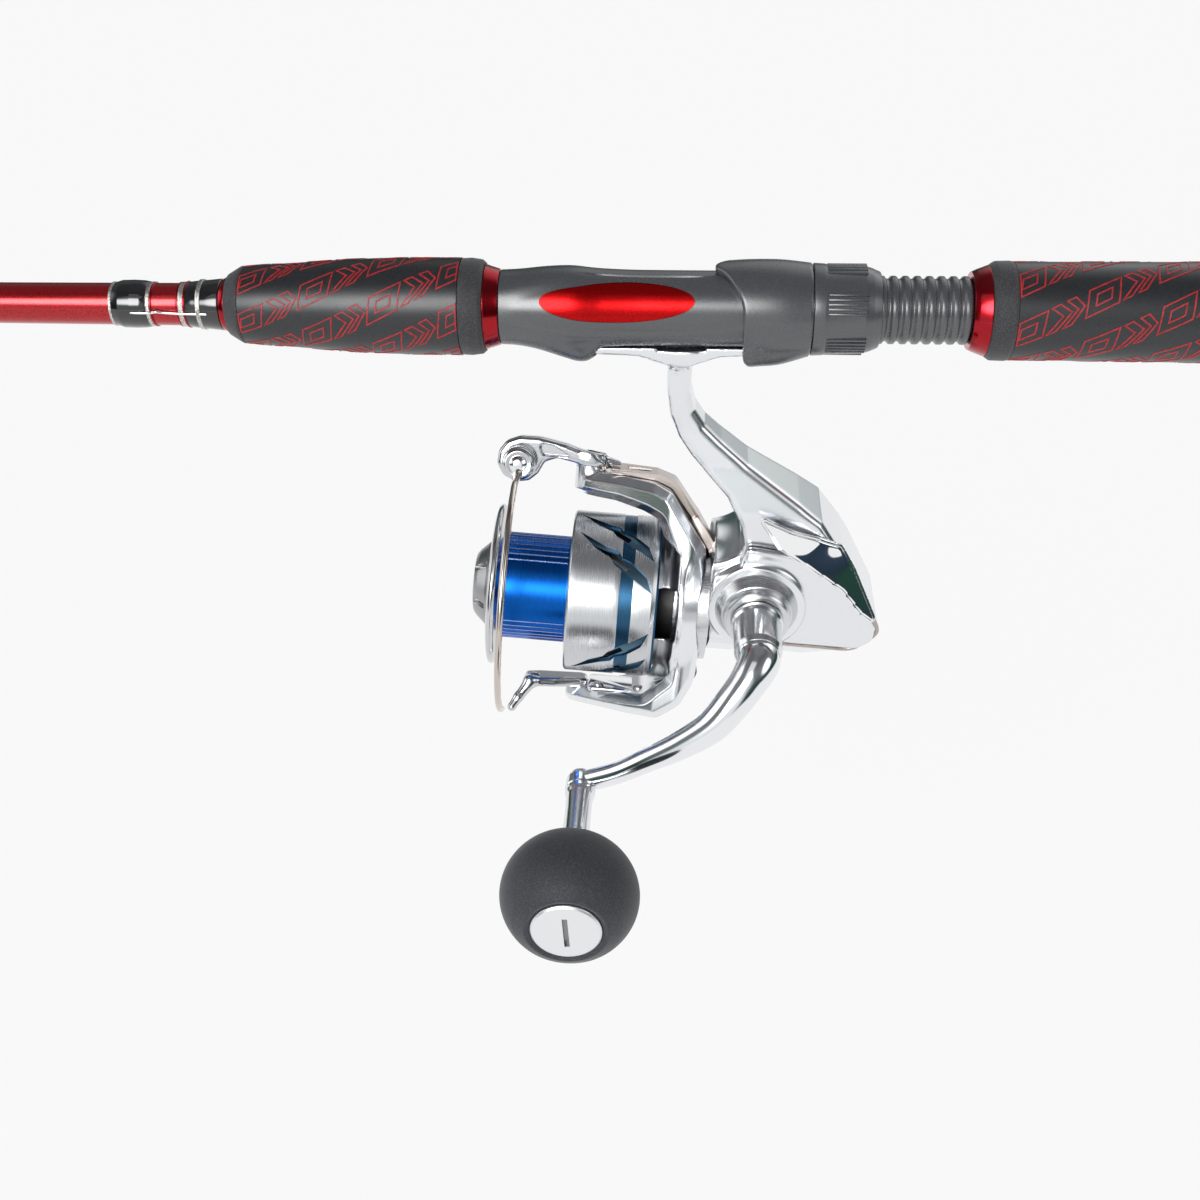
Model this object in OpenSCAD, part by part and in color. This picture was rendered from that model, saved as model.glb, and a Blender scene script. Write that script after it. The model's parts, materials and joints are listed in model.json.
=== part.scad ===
// Spinning rod with a fixed-spool reel mounted under a screw-lock reel seat.
// +X runs toward the butt, the tip is at -X, +Z is up, the reel hangs below the rod.
// The origin is the centre of the butt end on the rod axis. Millimetres.

/* [Rod] */
// overall length of the rod
rod_length = 1980; // [1800:10:2400]
// from the butt end to the middle of the reel stem
station = 380; // [360:1:420]
// radius of the blank inside the handle
blank_r = 6.6; // [6.5:0.05:6.7]
// radius of the blank at the tip
tip_r = 1.15; // [1.0:0.05:1.4]

/* [Grips] */
// largest radius of the front grip
fore_grip_r = 14.8; // [14.2:0.1:15.4]
// radius of the rear grip
rear_grip_r = 15.3; // [15:0.1:16]

/* [Reel] */
// how far the spool axis lies below the rod axis
axis_drop = 108.3; // [107.5:0.1:109]
// lean of the spool axis, front end up
tilt = 4.5; // [4:0.1:5]
// turn of the rotor arms about the spool axis
rotor_turn = 22; // [0:1:40]
// radius of the spool skirt
skirt_r = 27.75; // [27:0.05:28]
// radius of the knob
knob_r = 21.5; // [19:0.1:23]

/* [Hidden] */
tip_x = -rod_length;
taper_x = -520;
axle_x = 25.4;
axle_z = 12;
gear_n = 33;
gear_in = 14.6;
gear_out = 17.2;
pin_lift = 12.82;
worm_y = 6.364;
worm_z = -6.364;
slider_x = 38.3;
slider_end = 43;
hinge_x = -33.7;
roll_x = -57.5;
roll_z = 44;
ring_r = 41.8;
ring_y = -5.2;
knob_x = -27.7;
knob_z = -38;
knob_y = -107.4;
guide_pos = [105, 230, 375, 545, 755, 1030];
guide_in = [2.6, 2.6, 3.0, 3.8, 5.2, 8.2];
guide_h = [8.5, 9.5, 11, 13.5, 18, 26];
seat_r = 11.7;
thread_r = 10.2;
thread_n = 12;
thread_pitch = 3.6;

black = [0.09, 0.09, 0.1];
grey = [0.3, 0.31, 0.33];
silver = [0.82, 0.83, 0.85];
steel = [0.7, 0.71, 0.73];
red = [0.7, 0.05, 0.08];
blue = [0.1, 0.25, 0.7];
brass = [0.76, 0.6, 0.3];

// ---------- helpers ----------
// turned shape about X from [radius, x] points
module revx(p, n = 96) {
  rotate([0, 90, 0])
    rotate_extrude($fn = n)
      polygon(p);
}
// turned shape about Y from [radius, y] points
module revy(p, n = 96) {
  rotate([-90, 0, 0])
    rotate_extrude($fn = n)
      polygon(p);
}
// turned shape about Z
module revz(p, n = 72) {
  rotate_extrude($fn = n)
    polygon(p);
}
// plate from [x, z] points between two y
module ext_y(p, y0, y1) {
  translate([0, y1, 0])
    rotate([90, 0, 0])
      linear_extrude(y1 - y0)
        polygon(p);
}
// plate from [y, z] points between two x
module ext_x(p, x0, x1) {
  translate([x0, 0, 0])
    rotate([90, 0, 90])
      linear_extrude(x1 - x0)
        polygon(p);
}
module cyl_x(r, x0, x1, n = 64) {
  translate([x0, 0, 0])
    rotate([0, 90, 0])
      cylinder(r = r, h = x1 - x0, $fn = n);
}
module cyl_y(r, y0, y1, n = 64) {
  translate([0, y0, 0])
    rotate([-90, 0, 0])
      cylinder(r = r, h = y1 - y0, $fn = n);
}
module cyl_z(r, z0, z1, n = 48) {
  translate([0, 0, z0])
    cylinder(r = r, h = z1 - z0, $fn = n);
}
// straight round bar between two points
module bar(p, q, r1, r2, n = 32) {
  d = q - p;
  l = norm(d);
  translate(p)
    rotate([0, acos(d[2] / l), atan2(d[1], d[0])])
      cylinder(r1 = r1, r2 = r2, h = l, $fn = n);
}
function blank_at(x) =
  x > taper_x ? blank_r : tip_r + (blank_r - tip_r) * (x - tip_x) / (taper_x - tip_x);
// rod parts are placed from the reel station
module at_station() {
  translate([-station, 0, 0])
    children();
}
// reel parts: x along the spool axis, z up, origin on the spool axis under the stem
module reel() {
  translate([-station, 0, -axis_drop])
    rotate([0, tilt, 0])
      children();
}
module in_rod_frame() {
  rotate([0, -tilt, 0])
    translate([0, 0, axis_drop])
      children();
}
// rotor parts: z along the arms
module turned() {
  reel()
    rotate([-rotor_turn, 0, 0])
      children();
}
function gear_pts(n, rr, ro, wr, wt, a0) = [
  for (i = [0 : n - 1])
    for (k = [[rr, -wr], [ro, -wt], [ro, wt], [rr, wr]])
      [k[0] * cos(a0 + i * 360 / n + k[1]), k[0] * sin(a0 + i * 360 / n + k[1])]
];

// ---------- rod ----------
module blank() {
  color(red)
    difference() {
      revx([
        [0, tip_x], [tip_r, tip_x], [blank_r, taper_x], [blank_r, -4], [0, -4]
      ], 64);
      revx([
        [0, tip_x + 30], [0.5, tip_x + 30], [blank_r - 1.4, taper_x], [blank_r - 1.4, -3], [0, -3]
      ], 48);
    }
}
// a thread wrap: sleeve over the blank, rounded by its ends
module wrap(x0, x1, t) {
  a = blank_at(x0);
  b = blank_at(x1);
  revx([
    [a + 0.02, x0], [a + 0.25, x0], [a + t, x0 + 1.6], [b + t, x1 - 1.6], [b + 0.25, x1], [b + 0.02, x1]
  ], 48);
}
module foot_strip(x0, x1, grow) {
  a = blank_at((x0 + x1) / 2);
  translate([x0 - grow, -0.9 - grow, -a - 0.78 - grow])
    cube([x1 - x0 + 2 * grow, 1.8 + 2 * grow, 0.7 + 2 * grow]);
}
module guide_wraps() {
  color(black)
    for (i = [0 : 5]) {
      x = tip_x + guide_pos[i];
      s = 10 + guide_in[i];
      difference() {
        wrap(x - s - 9, x - s + 3, 1.2);
        foot_strip(x - s - 4, x - 5, 0.06);
      }
      difference() {
        wrap(x + s - 3, x + s + 9, 1.2);
        foot_strip(x + 5, x + s + 4, 0.06);
      }
    }
}
module guide(i) {
  x = tip_x + guide_pos[i];
  ri = guide_in[i];
  h = guide_h[i];
  s = 10 + ri;
  a = blank_at(x - s);
  b = blank_at(x + s);
  color(steel) {
    translate([x, 0, -h])
      revx([[ri + 1.05, -0.8], [ri + 1.9, -0.8], [ri + 1.9, 0.8], [ri + 1.05, 0.8]], 64);
    foot_strip(x - s - 4, x - 5, 0);
    foot_strip(x + 5, x + s + 4, 0);
    difference() {
      union() {
        bar([x - 6, 0, -a - 0.6], [x, 0, -h + ri + 1.6], 0.6, 0.6);
        bar([x + 6, 0.3, -b - 0.6], [x, ri + 1.3, -h], 0.6, 0.6);
        bar([x + 6, -0.3, -b - 0.6], [x, -ri - 1.3, -h], 0.6, 0.6);
      }
      translate([0, 0, -h])
        cyl_x(ri + 1.1, x - 1.5, x + 1.5);
    }
  }
}
module guide_1() {
  guide(0);
}
module guide_2() {
  guide(1);
}
module guide_3() {
  guide(2);
}
module guide_4() {
  guide(3);
}
module guide_5() {
  guide(4);
}
module guide_6() {
  guide(5);
}
module guide_rings() {
  color(grey)
    for (i = [0 : 5]) {
      translate([tip_x + guide_pos[i], 0, -guide_h[i]])
        revx([
          [guide_in[i], -0.5], [guide_in[i] + 0.35, -1], [guide_in[i] + 1, -1],
          [guide_in[i] + 1, 1], [guide_in[i] + 0.35, 1], [guide_in[i], 0.5]
        ], 64);
    }
}
module tip_top() {
  color(steel) {
    difference() {
      cyl_x(tip_r + 0.75, tip_x - 0.8, tip_x + 14, 48);
      cyl_x(tip_r + 0.12, tip_x - 0.01, tip_x + 15, 48);
    }
    translate([tip_x - 3, 0, -5.4])
      revx([[3.45, -0.8], [4.3, -0.8], [4.3, 0.8], [3.45, 0.8]], 64);
    difference() {
      union() {
        bar([tip_x - 3, 0, -1.7], [tip_x + 1, 0, -1.95], 0.55, 0.55);
        bar([tip_x - 3, 3.3, -7.8], [tip_x + 9, 1, -1.6], 0.5, 0.5);
        bar([tip_x - 3, -3.3, -7.8], [tip_x + 9, -1, -1.6], 0.5, 0.5);
      }
      translate([0, 0, -5.4])
        cyl_x(3.5, tip_x - 5, tip_x - 1);
    }
  }
}
module tip_ring() {
  color(grey)
    translate([tip_x - 3, 0, -5.4])
      revx([[2.4, -0.5], [2.75, -1], [3.4, -1], [3.4, 1], [2.75, 1], [2.4, 0.5]], 64);
}
module keeper_wraps() {
  color(black)
    at_station()
      difference() {
        union() {
          revx([[6.62, -176], [6.8, -176], [7.4, -173.5], [7.4, -167.2], [6.9, -165.4], [6.62, -165.4]]);
          revx([[6.62, -153.4], [7, -153.4], [7.3, -150], [7.9, -142.2], [6.62, -142.2]]);
        }
        translate([-171, -8.6, -0.65])
          cube([25, 2, 1.3]);
      }
}
module hook_keeper() {
  color(steel)
    at_station() {
      translate([0, -7.2, 0])
        cyl_x(0.5, -170.6, -146.4, 24);
      translate([0, -7.9, 0.9])
        cyl_x(0.45, -162.6, -160, 24);
    }
}
module fore_check_front() {
  color(red)
    at_station()
      revx([[6.65, -142], [7.7, -142], [8.4, -140.3], [6.65, -140.3]]);
}
module fore_ring_front() {
  color(black)
    at_station()
      revx([[6.65, -140.1], [9.2, -140.1], [10.4, -139.2], [11.8, -135.4], [11.6, -135.1], [6.65, -135.1]]);
}
module fore_grip() {
  g = fore_grip_r;
  color(black)
    at_station()
      revx([
        [6.65, -135], [g - 2.8, -135], [g - 2.4, -130], [g - 1.75, -118.5], [g - 0.6, -103],
        [g - 0.1, -90], [g, -80], [g, -67.5], [6.65, -67.5]
      ]);
}
module fore_ring_rear() {
  color(black)
    at_station()
      revx([[6.65, -67.4], [14.6, -67.4], [14.7, -65], [14.4, -62], [13.5, -60.2], [6.65, -60.2]]);
}
module fore_check_rear() {
  color(red)
    at_station()
      revx([[6.65, -60.1], [12.9, -60.1], [12.5, -58.8], [11.5, -55.6], [6.65, -55.6]]);
}
// pocket in the front lump that takes the front end of the reel foot
module foot_pocket() {
  translate([-32.4, -8, -12.75])
    cube([20, 16, 3.25]);
}
// flattened underside of the seat that the reel foot bears on
module seat_flat() {
  translate([-26, -20, -29.6])
    cube([70, 40, 20]);
}
module window_prism(s, y0, y1) {
  a = 23.4 - s;
  b = 6 - s;
  translate([-19.5, 0, 5.1])
    ext_y([for (i = [0 : 23]) [a * cos(i * 15 + 4), b * sin(i * 15 + 4)]], y0, y1);
}
module reel_seat() {
  color(grey)
    at_station()
      difference() {
        union() {
          rotate([20, 0, 0])
            revx([
              [6.65, -55.5], [11.3, -55.5], [11.6, -50], [12.5, -41], [12.8, -33], [12.1, -24],
              [seat_r, -12],
              [seat_r, 42.5], [9.3, 42.9], [9.3, 86.5], [6.65, 86.5]
            ]);
          for (i = [0 : thread_n - 1]) {
            translate([44.2 + i * thread_pitch, 0, 0])
              revx([[9.2, 0], [thread_r, 0.6], [thread_r, 2], [9.2, 2.6]], 72);
          }
          difference() {
            intersection() {
              ext_y([
                [-50, -10], [-41, -14], [-35, -17.5], [-28, -17.5], [-25, -13.2], [-25, -8], [-50, -8]
              ], -9.5, 9.5);
              rotate([20, 0, 0])
                cyl_x(15.3, -60, -20, 96);
            }
            foot_pocket();
          }
        }
        seat_flat();
        foot_pocket();
        difference() {
          union() {
            window_prism(0, -20, 0);
            window_prism(0, 0, 20);
          }
          cyl_x(8.9, -60, 20, 72);
        }
      }
}
module seat_windows() {
  color(red)
    at_station()
      intersection() {
        revx([[8.95, -46], [10.7, -46], [10.7, 8], [8.95, 8]]);
        union() {
          window_prism(0.1, -20, -2);
          window_prism(0.1, 2, 20);
        }
      }
}
module rear_check() {
  color(red)
    at_station()
      revx([[6.65, 86.6], [11.6, 86.6], [12.3, 88], [13.7, 91.6], [6.65, 91.6]]);
}
module rear_ring_front() {
  color(black)
    at_station()
      revx([[6.65, 91.7], [13.8, 91.7], [14.7, 92.8], [14.9, 95.5], [14.7, 98.8], [6.65, 98.8]]);
}
module rear_grip() {
  color(black)
    revx([
      [6.65, -station + 98.9], [14.7, -station + 98.9], [rear_grip_r - 0.4, -station + 140],
      [rear_grip_r, -station + 200], [rear_grip_r, -9], [6.65, -9]
    ]);
}
module butt_cap() {
  g = rear_grip_r;
  color(black)
    difference() {
      revx([
        [0, -8.9], [g - 0.3, -8.9], [g - 0.1, -7], [g - 0.1, -2.5], [g - 1, -0.8], [g - 2.8, 0], [0, 0]
      ]);
      cyl_x(blank_r + 0.05, -10, -3.9);
    }
}
// ---------- sliding hood and lock nut ----------
module sliding_hood() {
  color(grey)
    at_station()
      difference() {
        union() {
          intersection() {
            revx([
              [11.8, 9.5], [14.2, 9.5], [14.6, 14], [15, 21], [14.9, 30], [14, 38.9], [11.8, 38.9]
            ]);
            ext_y([
              [9.5, 20], [9.8, 14.2], [12.4, 13.4], [15, 11.7], [17.2, 8.6], [18.4, 4], [18.6, -9],
              [19.5, -20],
              [40, -20], [40, 20]
            ], -20, 20);
          }
          intersection() {
            ext_y([[18, -6], [18.5, -14.5], [21, -17], [30, -16.6], [38.9, -14], [38.9, -6]], -10, 10);
            cyl_x(17.4, 10, 45);
          }
        }
        cyl_x(seat_r + 0.1, 0, 50);
        translate([0, -8, -12.85])
          cube([32.5, 16, 6]);
      }
}
module lock_nut() {
  color(grey)
    at_station()
      difference() {
        union() {
          revx([
            [10.35, 39.3], [13.9, 39.3], [13.7, 43], [13.4, 44], [13.2, 54], [12.6, 55.5],
            [11.3, 59.6], [10.35, 59.6]
          ]);
          for (i = [0 : 5]) {
            for (k = [-2 : 2]) {
              rotate([60 * i + 7.5 * k, 0, 0])
                translate([43.2, -0.55, 12])
                  cube([12.2, 1.1, 1.9]);
            }
          }
        }
        cyl_x(10.35, 38, 61, 96);
        cyl_x(seat_r + 0.2, 38, 42.9, 96);
      }
}

// ---------- reel, fixed parts ----------
screw_at = [[40, 33], [57, 8], [47.5, 0]];
body_side = [
  [-11.6, 97.5], [-11.1, 86], [-10.6, 81], [-9.1, 73.7], [-5.9, 66.8], [-1.1, 60.6], [3.9, 55.5],
  [11.9, 48], [17.3, 38.9], [19, 33], [18.4, 30], [15, 26.8], [10.2, 22.5], [10.2, -16.5],
  [46, -16.5], [66.5, 1],
  [67.5, 3.5], [67.3, 6.6], [62, 15.5], [56.5, 25], [51.8, 32], [43.5, 42.6], [35.5, 48], [17.5, 59],
  [8, 66.3], [2.3, 71.2], [-1.4, 76.2], [-3.3, 82.7], [-3.8, 97.5]
];
body_section = [
  [-15, -5], [-4, -16.5], [9, -16.5], [17, -6], [17, 28], [13, 44], [8.5, 58], [6.6, 70], [6.4, 88],
  [7.4, 98],
  [-7.4, 98], [-6.4, 88], [-6.6, 70], [-8.5, 58], [-13, 44], [-15, 34]
];
cavity_side = [
  [10, -14], [45, -14], [62, 0.6], [62.5, 6], [56, 17], [48.5, 28.5], [39.5, 38.5], [24, 42], [22, 28],
  [10, 24]
];
cavity_section = [
  [-15.1, -2.2], [-3.2, -14.4], [9.4, -14.4], [15.3, -5.8], [15, 27.5], [11.6, 40], [-15.1, 40]
];
module reel_foot() {
  in_rod_frame()
    difference() {
      union() {
        translate([-29, -7.6, -12.4])
          cube([58.5, 15.2, 2.65]);
        intersection() {
          translate([-31.9, -5.6, -12.4])
            cube([63.6, 11.2, 2.65]);
          cyl_z(31.9, -13, -9, 96);
        }
        ext_x([[-7.6, -12.5], [-6.4, -14.5], [6.4, -14.5], [7.6, -12.5]], -16, 11);
      }
      translate([-8, -9, -10.9])
        cube([15, 5.5, 2]);
      translate([-8, 3.5, -10.9])
        cube([15, 5.5, 2]);
    }
}
module reel_body() {
  color(silver)
    reel() {
      difference() {
        union() {
          intersection() {
            ext_y(body_side, -15, 17);
            ext_x(body_section, -12, 70);
          }
          intersection() {
            translate([0, 0, 4])
              cyl_x(25, 10.2, 19.5, 96);
            ext_x(body_section, 9, 21);
          }
          translate([axle_x, 0, axle_z])
            revy([[0, 16.9], [13.4, 16.9], [12, 19], [0, 19]]);
        }
        intersection() {
          ext_y(cavity_side, -15.1, 14.8);
          ext_x(cavity_section, 8, 64);
        }
        translate([9, -15.1, -9])
          cube([6, 29.9, 26]);
        translate([axle_x, 0, axle_z])
          cyl_y(gear_out + 0.4, -9.2, -3.8, 96);
        cyl_x(19.6, 7.6, 11, 96);
        translate([axle_x, 0, axle_z])
          cyl_y(7.55, 12, 16.05);
        translate([axle_x, 0, axle_z])
          cyl_y(5, 12, 20);
        for (p = screw_at) {
          translate([p[0], 0, p[1]])
            cyl_y(2.1, 15.95, 18, 32);
          translate([p[0], 0, p[1]])
            cyl_y(0.86, 12, 18, 24);
        }
      }
      difference() {
        revx([
          [21.4, 4.1], [21.4, 10.3], [19.6, 10.3], [19.6, 7.6], [7.2, 7.6], [7.2, 9.3], [6.05, 9.3],
          [6.05, 6.6],
          [11.05, 6.6], [11.05, 4.1]
        ]);
        translate([axle_x, 0, axle_z])
          cyl_y(gear_out + 0.5, -9.4, -4);
      }
      difference() {
        ext_x([
          [-4.1, -4], [-4.1, 4.6], [0, 6.8], [8, 6.8], [11.5, 3.9], [15.2, 3.9], [15.2, -8],
          [9, -15], [-2, -15],
          [-3, -6]
        ], 24, 26.5);
        cyl_x(4.05, 23, 27, 64);
        translate([0, worm_y, worm_z])
          cyl_x(1.55, 23, 27, 32);
      }
      difference() {
        ext_x([[1, -12.5], [1, 2], [15.2, 2], [15.2, -8], [11, -12.5]], 50.5, 52.5);
        translate([0, worm_y, worm_z])
          cyl_x(1.55, 50, 53, 32);
      }
      for (p = screw_at) {
        translate([p[0], 0, p[1]])
          revy([[0.86, -15], [2.4, -15], [2.4, 15.5], [0.86, 15.5]], 32);
      }
      reel_foot();
    }
}
module side_cover() {
  color(silver)
    reel()
      difference() {
        union() {
          intersection() {
            ext_y([
              [10.4, -12], [14.5, -16], [46, -16], [66, 1.2], [66.8, 4], [66.4, 6.6], [56, 24.6],
              [50.5, 31],
              [24, 34], [19.4, 34], [18.6, 27], [10.4, 22]
            ], -18, -15.05);
            ext_x([[-15.05, -4.8], [-18, -2], [-18, 31], [-16.6, 34], [-15.05, 34]], 9, 70);
          }
          translate([axle_x, 0, axle_z])
            revy([
              [0, -15.05], [15, -15.05], [15, -17.5], [14.2, -18.4], [11.4, -23.6], [11, -24.2],
              [10.8, -26.4],
              [10.2, -27], [0, -27]
            ]);
        }
        translate([axle_x, 0, axle_z])
          revy([[0, -14], [7.55, -14], [7.55, -20.6], [4.3, -20.6], [4.3, -28], [0, -28]]);
        for (p = screw_at) {
          translate([p[0], 0, p[1]])
            cyl_y(0.86, -17.2, -14, 24);
        }
      }
}
module rear_plate() {
  color(steel)
    reel()
      ext_y([
        [22.6, 46.5], [50.2, 35.5], [56, 27], [65.6, 9.6], [60, 13.4], [53, 21.5], [38, 31.5], [30, 36]
      ], -19.2, -18.06);
}
module body_screws() {
  color(steel)
    reel()
      for (p = screw_at) {
        translate([p[0], 0, p[1]])
          difference() {
            revy([[0, -17], [0.8, -17], [0.8, 16], [2, 16], [2, 17.3], [1.5, 17.7], [0, 17.7]], 32);
            translate([-1.4, 17.1, -0.25])
              cube([2.8, 1, 0.5]);
          }
      }
}
module axle_cap() {
  color(silver)
    reel()
      translate([axle_x, 0, axle_z])
        difference() {
          revy([
            [0, 16.3], [4.9, 16.3], [4.9, 19.1], [11, 19.1], [10.6, 21.6], [9.6, 22.4], [0, 22.4]
          ]);
          for (i = [0 : 3]) {
            rotate([0, 90 * i, 0])
              translate([5.5, 21.4, -1])
                cube([3, 2, 2]);
          }
        }
}
module gear_bearings() {
  color(steel)
    reel()
      translate([axle_x, 0, axle_z]) {
        revy([[4.04, -20.4], [7.5, -20.4], [7.5, -16.2], [4.04, -16.2]]);
        revy([[4.04, 12.2], [7.5, 12.2], [7.5, 16], [4.04, 16]]);
      }
}
module pinion_bearings() {
  color(steel)
    reel() {
      revx([[4.04, 6.8], [6, 6.8], [6, 9.3], [4.04, 9.3]]);
      revx([[2.2, 24.1], [4, 24.1], [4, 26.4], [2.2, 26.4]]);
    }
}
module one_way_clutch() {
  color(brass)
    reel()
      difference() {
        revx([[4.04, 4.2], [11, 4.2], [11, 6.5], [4.04, 6.5]]);
        for (i = [0 : 5]) {
          rotate([60 * i, 0, 0])
            translate([0, 0, 7.6])
              cyl_x(1.3, 3.9, 5.6, 32);
        }
      }
}

// ---------- handle ----------
module drive_gear() {
  color(brass)
    reel()
      translate([axle_x, 0, axle_z]) {
        difference() {
          revy([
            [0, 15.9], [4, 15.9], [4, -5], [7.5, -6.1], [gear_out, -6.1], [gear_out, -8.6], [8, -8.6],
            [5.5, -10], [5.5, -15.6], [4, -15.6], [4, -26.9], [0, -26.9]
          ]);
          cyl_y(3.02, -28, -8);
        }
        intersection() {
          for (i = [0 : gear_n - 1]) {
            rotate([0, 131 + i * 360 / gear_n, 0])
              translate([gear_in, 0, 0])
                rotate([90, 0, 90])
                  linear_extrude(gear_out - gear_in + 0.2)
                    polygon([[-6.3, -0.72], [-6.3, 0.72], [-4.5, 0.33], [-4.5, -0.33]]);
          }
          cyl_y(gear_out, -8, -4);
        }
      }
}
module handle_collar() {
  color(silver)
    reel()
      translate([axle_x, 0, axle_z])
        revy([
          [0, -10], [2.95, -10], [2.95, -27.3], [8.2, -27.3], [8.6, -27.8], [8.6, -29.4], [8.2, -29.9],
          [7.8, -44], [6.8, -45.6], [0, -45.6]
        ]);
}
module handle_arm() {
  p0 = [axle_x, -45.7, axle_z];
  p1 = [axle_x - 1, -52, axle_z - 1];
  p2 = [11.5, -59.6, -8];
  p3 = [-8, -60.6, -23];
  p4 = [knob_x + 3, -57, knob_z + 3];
  color(silver)
    reel()
      difference() {
        union() {
          difference() {
            bar([axle_x, -42, axle_z], p1, 7, 6.4, 48);
            translate([axle_x - 20, -45.65, axle_z - 20])
              cube([40, 10, 40]);
          }
          translate(p1)
            sphere(r = 6.5, $fn = 48);
          bar(p1, p2, 6.1, 4.6, 48);
          translate(p2)
            sphere(r = 4.9, $fn = 48);
          bar(p2, p3, 4.6, 3.7, 48);
          translate(p3)
            sphere(r = 4, $fn = 48);
          bar(p3, p4, 3.7, 3.5, 48);
        }
        translate([knob_x, 0, knob_z])
          cyl_y(5.05, -64, -48);
      }
}
module knob_stem() {
  color(steel)
    reel()
      translate([knob_x, 0, knob_z])
        revy([
          [0, -50.5], [3.6, -50.5], [4.6, -51.4], [5, -53], [5, -60], [4.7, -60.6], [4.7, -62],
          [4.9, -62.4],
          [4.4, -64], [4.4, -86.8], [3, -86.8], [3, -117.6], [0, -117.6]
        ]);
}
module knob() {
  h = 0.9 * knob_r;
  color(black)
    reel()
      translate([knob_x, knob_y, knob_z])
        difference() {
          intersection() {
            revy([for (i = [-18 : 18]) [knob_r * cos(i * 5), h * sin(i * 5)]], 96);
            cyl_y(30, -14.4, h - 0.9, 64);
          }
          cyl_y(3.05, -11, 30);
          cyl_y(11, -20, -12.6);
        }
}
module knob_cap() {
  color(steel)
    reel()
      translate([knob_x, knob_y, knob_z])
        difference() {
          revy([[0, -12.7], [10.9, -12.7], [10.9, -14.4], [10.4, -14.9], [0, -14.9]]);
          translate([-5.4, -16, -0.5])
            cube([10.8, 1.8, 1]);
        }
}

// ---------- rotor ----------
rotor_side = [
  [-38, 42.6], [-24, 42.6], [-11.2, 41.6], [-5.7, 39.4], [3.1, 27], [8.1, 20.3], [9.2, 14], [9.2, -12],
  [8.4, -23], [3.5, -32.4], [-4.2, -38.3], [-15.6, -39.1], [-38, -38.9], [-38, -33.2], [-23, -33.2],
  [-10.3, -31.5], [-2.7, -24], [-1.5, -14], [-1.5, 12], [-7.1, 24.8], [-9.5, 30], [-14.4, 31.9],
  [-24, 33.8], [-38, 34.4]
];
rotor_plan = [
  [9.6, -14], [-19, -14], [-33, -6.8], [-36.5, -4.6], [-38, -2], [-38, 2], [-36.5, 4.6], [-33, 6.8],
  [-19, 14],
  [9.6, 14]
];
module rotor() {
  color(silver)
    turned()
      difference() {
        union() {
          intersection() {
            ext_y(rotor_side, -14, 14);
            translate([0, 0, -60])
              linear_extrude(120)
                polygon(rotor_plan);
          }
          revx([
            [4.02, -4], [9, -4], [10, -1.5], [22.6, -1.5], [22.6, -24], [24.2, -24], [24.2, -1.5],
            [24.2, 7.6], [21.8, 7.6], [21.8, 3.6], [4.02, 3.6]
          ]);
        }
        intersection() {
          revx([[24.2, -50], [28.7, -50], [28.7, -1.5], [24.2, -1.5]]);
          translate([-60, -30, -60])
            cube([58.5, 60, 120]);
        }
        cyl_x(21.8, 3.6, 12, 96);
        cyl_x(4.02, -5, 5, 64);
        translate([hinge_x, 0, 0])
          cyl_z(2.05, 35, 60);
        translate([hinge_x, 0, 0])
          cyl_z(2.05, -37, -30);
        translate([-24, -3, 36.4])
          cube([14, 6, 5.4]);
        translate([-28.7, -10.1, -33.2])
          cube([20.2, 18.2, 4]);
        for (x = [-25, -11]) {
          translate([x, -6, 0])
            cyl_z(0.85, -37, -30, 24);
        }
      }
}
module rotor_nut() {
  color(steel)
    turned()
      difference() {
        rotate([0, 90, 0])
          translate([0, 0, -7.4])
            cylinder(r = 6.9, h = 3.3, $fn = 6);
        cyl_x(4.02, -8, -3, 64);
      }
}
module pinion() {
  color(brass)
    reel()
      difference() {
        union() {
          cyl_x(4, -8.4, 10.5, 64);
          translate([10.5, 0, 0])
            rotate([0, 90, 0])
              linear_extrude(height = 9, twist = 9 * pin_lift, slices = 24)
                polygon(gear_pts(7, 4.15, 5.8, 14, 6, -32.7 + 180 / 7));
          cyl_x(2.4, 19.5, 24, 48);
          translate([19.95, 0, 0])
            rotate([90, 0, 90])
              linear_extrude(3.5)
                polygon(gear_pts(12, 2.4, 3.42, 8, 3, 0));
          cyl_x(2.15, 24, 26.6, 48);
        }
        cyl_x(1.82, -9, 28, 48);
      }
}
module arm_cover() {
  color(steel)
    turned()
      ext_y([
        [-27, 43], [-26, 42.75], [-11.1, 41.8], [-5.5, 39.6], [1.6, 29.6], [2.6, 30.4], [-4.4, 41],
        [-10.6, 43.4],
        [-26, 44.3]
      ], -9, 9);
}
module arm_plate() {
  color(steel)
    turned()
      difference() {
        translate([-27.3, -10, -33.1])
          cube([18.7, 18, 1.2]);
        for (x = [-25, -11]) {
          translate([x, -6, 0])
            cyl_z(1.05, -35, -30, 24);
        }
        cyl_x(28.8, -40, 0, 96);
        ext_y([[-9.6, -34], [-8, -28], [-2, -28], [-2, -34]], -12, 12);
      }
}
module rotor_screws() {
  color(steel)
    turned()
      for (x = [-25, -11]) {
        translate([x, -6, -31.8])
          difference() {
            revz([[0, -4.6], [0.8, -4.6], [0.8, 0], [1.9, 0], [1.9, 0.7], [1.4, 1], [0, 1]], 32);
            translate([-1.3, -0.25, 0.5])
              cube([2.6, 0.5, 1]);
          }
      }
}
module bail_spring() {
  color(steel)
    turned()
      translate([-17, 0, 39.1]) {
        cyl_x(0.7, -6.8, 6.8, 24);
        for (i = [-5 : 5]) {
          x = 1.15 * i;
          revx([[0.6, x - 0.3], [2.3, x - 0.3], [2.3, x + 0.3], [0.6, x + 0.3]], 32);
        }
      }
}

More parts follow.
